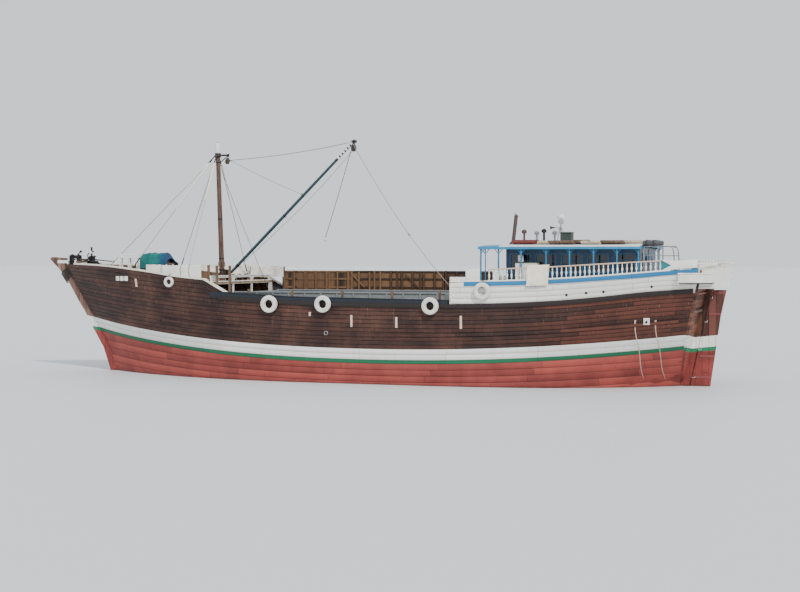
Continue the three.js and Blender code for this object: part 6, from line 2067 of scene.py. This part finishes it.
for x0, x1 in ((HOLD_AFT - COAMING, HOLD_AFT), (HOLD_FORE, HOLD_FORE + COAMING)):
    coaming.append(block((x0, -HOLD_HALF, COAMING_FOOT), (x1, HOLD_HALF, COAMING_TOP), 0.02))
fit("coaming_timbers", coaming, COAMING_GREY, "rail_paint", ["hatch_coaming"])

inner = []
for side in (1, -1):
    for x in spread(HOLD_AFT + 0.15, HOLD_FORE - 0.15, 20):
        inner.append(block((x - 0.07, side * (HOLD_HALF + 0.001), HOLD_FLOOR + 0.01),
                           (x + 0.07, side * (HOLD_HALF - 0.10), COAMING_TOP - 0.15), 0.015))
    for z in (-0.6, 0.8, 2.2, 3.5):
        inner.append(block((HOLD_AFT + 0.05, side * (HOLD_HALF - 0.09), z - 0.11),
                           (HOLD_FORE - 0.05, side * (HOLD_HALF - 0.14), z + 0.11), 0.015))
for x in spread(HOLD_AFT + 0.2, HOLD_FORE - 0.2, 24):
    half = HOLD_HALF - 0.12
    inner.append(block((x - 0.22, -half, HOLD_FLOOR + 0.003), (x + 0.22, half, HOLD_FLOOR + 0.05), 0.012))
fit("hold_ceiling", inner, HOLD_BOARDS, "hold_timber")

# x and head of each post in the port rail
WAIST_POSTS = ((8.85, 6.02), (8.05, 6.02), (6.9, 4.79), (4.4, 4.79), (1.6, 4.79), (-1.1, 4.79), (-3.6, 4.79))
posts = []
for x, head in WAIST_POSTS:
    y = half_breadth(x, waist_top(x)) - 0.23
    posts.append(block((x - 0.055, y - 0.083, DECK_Z + 0.002), (x + 0.055, y + 0.055, head + 0.01), 0.015))
posts.append(block((9.6, 3.35, foredeck_top(9.66)), (9.72, 3.47, 6.06), 0.015))
fit("rail_posts", posts, ROUGH, "hold_timber")

BOARDS_AFT, BOARDS_FORE, BOARDS_IN = -3.94, 8.59, 0.28
BOARD_POSTS = spread(BOARDS_AFT + 0.09, BOARDS_FORE - 0.09, 20)


def boards_y(x, inward):
    """The starboard boards' face at a station, or that far inboard of it."""
    return -(half_breadth(x, 3.8) - BOARDS_IN - inward)


def board_place(u, v, z):
    x = mix(BOARDS_AFT, BOARDS_FORE, u)
    return x, boards_y(x, 0.004), z + 0.10 * v


battens = []
for z in (4.22, 4.70, 5.18, 5.60):
    strip_board = sheet_of(48, 1, lambda u, v, z=z: board_place(u, v, z), flip=True)
    thicken(strip_board, 0.035, 1)
    battens.append(outward(strip_board))
for i, x in enumerate(BOARD_POSTS):
    y = boards_y(x, 0.05)
    battens.append(block((x - 0.045, y - 0.01, 3.885), (x + 0.045, y + 0.075, 5.66 + 0.06 * math.sin(5 * i)),
                         0.012))
for x in (BOARD_POSTS[2], BOARD_POSTS[7], BOARD_POSTS[12]):
    y = boards_y(x, 0.09)
    battens.append(beam((x - 0.35, y, 4.75), (x + 0.45, y, 5.5), 0.03, 0.07, 0.008))
fit("side_battens", battens, HOLD_BOARDS, "hold_timber")
print("waist posts:", len(posts))

# %% [markdown]
# ## Fittings on the side
#
# Scuppers drain the poop deck through the white band. A white box round the engine's discharge, short fender
# sticks and an iron ring are nailed to the dark planking.

# %% Scuppers, discharge and fender sticks
SCUPPERS = ((-10.04, 4.63), (-10.99, 4.73), (-11.82, 4.79), (-14.1, 5.05), (-16.75, 5.62))
# x, low, high
STICKS = ((3.28, 3.45, 3.66), (1.0, 2.92, 3.53), (-1.42, 2.91, 3.46), (-4.79, 2.91, 3.56),
          (14.18, 4.85, 5.30))


def side_turn(x, z, side):
    """The turn that sets a fitting square to the ship's side."""
    slope = (half_breadth(x + 0.1, z) - half_breadth(x - 0.1, z)) / 0.2
    flare = (half_breadth(x, z + 0.1) - half_breadth(x, z - 0.1)) / 0.2
    out = Vector((-slope, side, -flare)).normalized()
    return out, (out.to_track_quat("Y", "Z")).to_matrix().to_4x4()


for hand, side in PORT_AND_STARBOARD:
    hole_shades, rims, sticks = [], [], []
    for x, z in SCUPPERS:
        out, _ = side_turn(x, z, side)
        face = Vector((x, side * (half_breadth(x, z) + 0.034), z))
        # Each scupper's bore is a black disc inside its rim: painted shade, where the hole is dark.
        hole_shades.append(lathed([(0, 0.062), (1, 0.062)], face - out * 0.02, face + out * 0.006, 20))
        rims.append(lathed([(0, 0.082), (0.7, 0.082), (1, 0.07)], face - out * 0.02, face + out * 0.004, 20))
    fit(f"scupper_bores_{hand}", hole_shades, HOLE_SHADE, "steel")
    fit(f"scupper_rims_{hand}", rims, GALVANISED, "steel")
    for x, low, high in STICKS:
        out, turn = side_turn(x, (low + high) / 2, side)
        stick = block((-0.055, -0.03, -(high - low) / 2), (0.055, 0.045, (high - low) / 2), 0.02, 3)
        middle = (low + high) / 2
        stick.data.transform(Matrix.Translation((x, side * (half_breadth(x, middle) + 0.05), middle)) @ turn)
        sticks.append(stick)
    fit(f"fender_sticks_{hand}", sticks, STICK_PINK, "white_paint")

x, z = -13.81, 3.36
out, turn = side_turn(x, z, 1)
frame_parts = [block((-0.15, -0.03, -0.17), (0.15, 0.05, 0.17), 0.02)]
frame_parts[0].data.transform(Matrix.Translation((x, half_breadth(x, z) + 0.035, z)) @ turn)
fit("discharge_box", frame_parts, WHITE_TRIM, "white_paint")
centre = Vector((x, half_breadth(x, z) + 0.08, z - 0.03))
spout = lathed([(0, 0.06), (0.8, 0.06), (1, 0.052)], centre - out * 0.05, centre + out * 0.05, 18)
fit("discharge_pipe", [spout], IRON, "steel")

# x at the top: two pale runs of lime down the side, one each side of the discharge
RUN_TOP, RUN_FOOT, RUN_SLANT = 3.42, 0.4, -0.15


def lime_run(at, u, v):
    z = mix(RUN_TOP, RUN_FOOT, v)
    x = at + RUN_SLANT * v + 0.03 * math.sin(9 * v)
    half = 0.022 + 0.045 * math.exp(-14 * v)
    return x + mix(-half, half, u), half_breadth(x, z) + 0.039, z


runs = [thicken(sheet_of(2, 40, lambda u, v, at=at: lime_run(at, u, v)), 0.004, 0) for at in (-13.27, -14.22)]
fit("lime_runs", [outward(run) for run in runs], STAIN, "white_paint")
x, z = 2.4, 2.59
out, turn = side_turn(x, z, 1)
middle = Vector((x, half_breadth(x, z) + 0.06, z))
along, upright = (turn.to_3x3() @ Vector(way) for way in ((1, 0, 0), (0, 0, 1)))
fit("side_ring", [ring_of(middle, 0.10, 0.022, along, upright, 10, 10)], GALVANISED, "steel")
print("scuppers:", 2 * len(SCUPPERS))

# %% [markdown]
# ## Cloths
#
# Three cloths lie about the ship: a teal and blue tarpaulin over the stores on the foredeck, a white one
# over the drying rail and a cream one over the poop's hand rail. Each is one sheet, cut to size and laid
# over its support by a formula. The stores themselves are planked cases under the tarpaulin.

# %% Tarpaulin and cloths
def cloth(name, width, length, place, finish, held, rests_on, columns=40, rows=40, thickness=0.004):
    """A sheet laid by a rule that takes metres across and along its cut."""
    piece = sheet_of(columns, rows, lambda u, v: place((u - 0.5) * width, (v - 0.5) * length))
    area = sum(face.area for face in piece.data.polygons)
    thicken(piece, thickness, 1)
    fit(name, [smooth(piece, 80)], finish)
    print(name, "cut:", round(width * length, 2), "laid:", round(area, 2), "m2")
    return piece


def over_bar(across, rise_to, half_thick, drop_sides):
    """Where a point of a cloth lies that hangs over a rail: its offset across and its height."""
    radius = half_thick
    turn = math.pi * radius
    if abs(across) < turn / 2:
        angle = across / radius
        return radius * math.sin(angle), rise_to + radius * math.cos(angle)
    beyond = abs(across) - turn / 2
    sign = 1 if across > 0 else -1
    return sign * (radius + drop_sides * beyond * 0.06), rise_to - beyond


RAIL_HALF = 0.075


def rail_cloth(s, t):
    x = -8.65 + s
    y_rail = half_breadth(x, poop_side_top(x)) - 0.075
    offset, z = over_bar(t + 0.34, balustrade_top(x) + 0.01, RAIL_HALF, 1.0)
    hang = max(0.0, balustrade_top(x) - z)
    fold = 0.012 * math.sin(11 * s + 2.0) * min(1, 2 * hang) + 0.02 * math.sin(5 * s) * min(1, hang)
    clear = 0.12 * min(1, hang * 1.6) if offset > 0 else -0.02 * min(1, hang * 3)
    return x + 0.01 * math.sin(9 * z), y_rail + offset + clear + fold * (1 if offset > 0 else -0.5), z


cloth("cream_cloth", 1.06, 1.42, rail_cloth, CREAM_CLOTH, "hung", ["hand_rail_port"], 32, 44)

DRYING_CLOTH = (2.06, 1.24)


def drying_cloth(s, t):
    x = 9.41 + s
    offset, z = over_bar(t, DRYING_Z, DRYING_POLE + 0.006, 0.6)
    hang = max(0.0, DRYING_Z - z)
    fold = (0.022 * math.sin(8 * s + 1.0) + 0.012 * math.sin(19 * s)) * min(1, 1.8 * hang)
    return x, DRYING_Y + offset + fold + math.copysign(0.02 * min(1, 3 * hang),
                                                       offset), z + 0.02 * math.sin(3 * s)


cloth("white_cloth", *DRYING_CLOTH, drying_cloth, WHITE_CLOTH, "hung", ["drying_rail"], 44, 36)

# %% Stores and tarpaulin
STORES_AFT, STORES_FORE, STORES_IN, STORES_OUT = 13.15, 14.80, 0.60, 1.70
SHOULDER, STORES_TOP, STEP = 6.15, 6.60, 0.18
cases = [
    block((STORES_AFT, STORES_IN, foredeck_top(STORES_FORE)), (STORES_FORE, STORES_OUT, SHOULDER), 0.015),
    block((STORES_AFT + STEP, STORES_IN + STEP, SHOULDER - 0.02),
          (STORES_FORE - STEP, STORES_OUT - STEP, STORES_TOP), 0.03),
]
for x in spread(STORES_AFT + 0.05, STORES_FORE - 0.05, 5):
    for y in (STORES_IN - 0.012, STORES_OUT - 0.012):
        cases.append(block((x - 0.04, y, foredeck_top(x) + 0.02), (x + 0.04, y + 0.024, SHOULDER - 0.01),
                           0.006))
fit("covered_stores", cases, ROUGH, "hold_timber", ["foredeck_stores"])

# y and z of the tarpaulin's section across the stores, from its port edge over the top
SECTION = ((1.79, 5.86), (1.775, 6.02), (1.745, 6.17), (1.66, 6.42), (1.575, 6.62), (1.48, 6.655),
           (1.15, 6.70), (0.82, 6.655), (0.725, 6.62), (0.64, 6.42), (0.555, 6.17), (0.52, 6.02),
           (0.50, 5.80))
RUNS = [0.0]
for (y0, z0), (y1, z1) in zip(SECTION, SECTION[1:]):
    RUNS.append(RUNS[-1] + math.hypot(y1 - y0, z1 - z0))
TARPAULIN_HALF, FLAP = 0.645, 0.40


def section(share):
    """The place on the section at a share of its length."""
    run = share * RUNS[-1]
    i = min(len(RUNS) - 2, next(k for k in range(1, len(RUNS)) if run <= RUNS[k] + 1e-9) - 1)
    part = (run - RUNS[i]) / (RUNS[i + 1] - RUNS[i])
    return mix(SECTION[i][0], SECTION[i + 1][0], part), mix(SECTION[i][1], SECTION[i + 1][1], part)


def tarpaulin(s, t):
    y, z = section(min(1.0, max(0.0, t / RUNS[-1] + 0.5)))
    crown = min(1.0, max(0.0, (z - SHOULDER) / 0.45))
    beyond = max(0.0, abs(s) - TARPAULIN_HALF)
    flap = beyond * mix(0.9, 0.62, crown)
    x = (STORES_AFT + STORES_FORE) / 2 + math.copysign(min(abs(s), TARPAULIN_HALF) + flap, s)
    z -= beyond * 0.80 * crown
    out = 1 if y > 1.15 else -1
    y += out * (1 - crown) * (0.020 + 0.020 * math.sin(11 * s + out))
    z += crown * (0.016 * math.sin(9 * s + 2 * t) + 0.014 * math.sin(17 * s - 5 * t) + 0.02)
    return x, y, z


cloth("stores_tarpaulin", 2 * (TARPAULIN_HALF + FLAP), RUNS[-1], tarpaulin, TARPAULIN, "draped",
      ["covered_stores"], 48, 48)
print("cloths: 3")

# %% Floor and last words
# The floor is cut along the four edges of the hold, and the face that lies inside the ship is taken out.
EDGES = (
    ((INSIDE_AFT, 0, 0), (1, 0, 0)), ((INSIDE_FORE, 0, 0), (1, 0, 0)),
    ((0, -INSIDE_HALF, 0), (0, 1, 0)), ((0, INSIDE_HALF, 0), (0, 1, 0)),
)
bpy.ops.mesh.primitive_plane_add(size=2 * FLOOR_HALF, location=(0, 0, 0))
floor = bpy.context.object
floor.name = "water_level_floor"
bpy.ops.object.mode_set(mode="EDIT")
for place, normal in EDGES:
    bpy.ops.mesh.select_all(action="SELECT")
    bpy.ops.mesh.bisect(plane_co=place, plane_no=normal)
bpy.ops.mesh.select_mode(type="FACE")
bpy.ops.mesh.select_all(action="DESELECT")
bpy.ops.object.mode_set(mode="OBJECT")
for face in floor.data.polygons:
    face.select = INSIDE_AFT < face.center.x < INSIDE_FORE and abs(face.center.y) < INSIDE_HALF
bpy.ops.object.mode_set(mode="EDIT")
bpy.ops.mesh.delete(type="FACE")
bpy.ops.object.mode_set(mode="OBJECT")
print("faces left in the floor:", len(floor.data.polygons))
floor_finish = Finish("pale_floor")
floor.data.materials.append(floor_finish.done(0xD5DADD, 0.6))

print("triangles added:", sum(triangles.values()), "in", len(triangles), "pieces")
print("most in one piece:", max(triangles.items(), key=lambda item: item[1]))
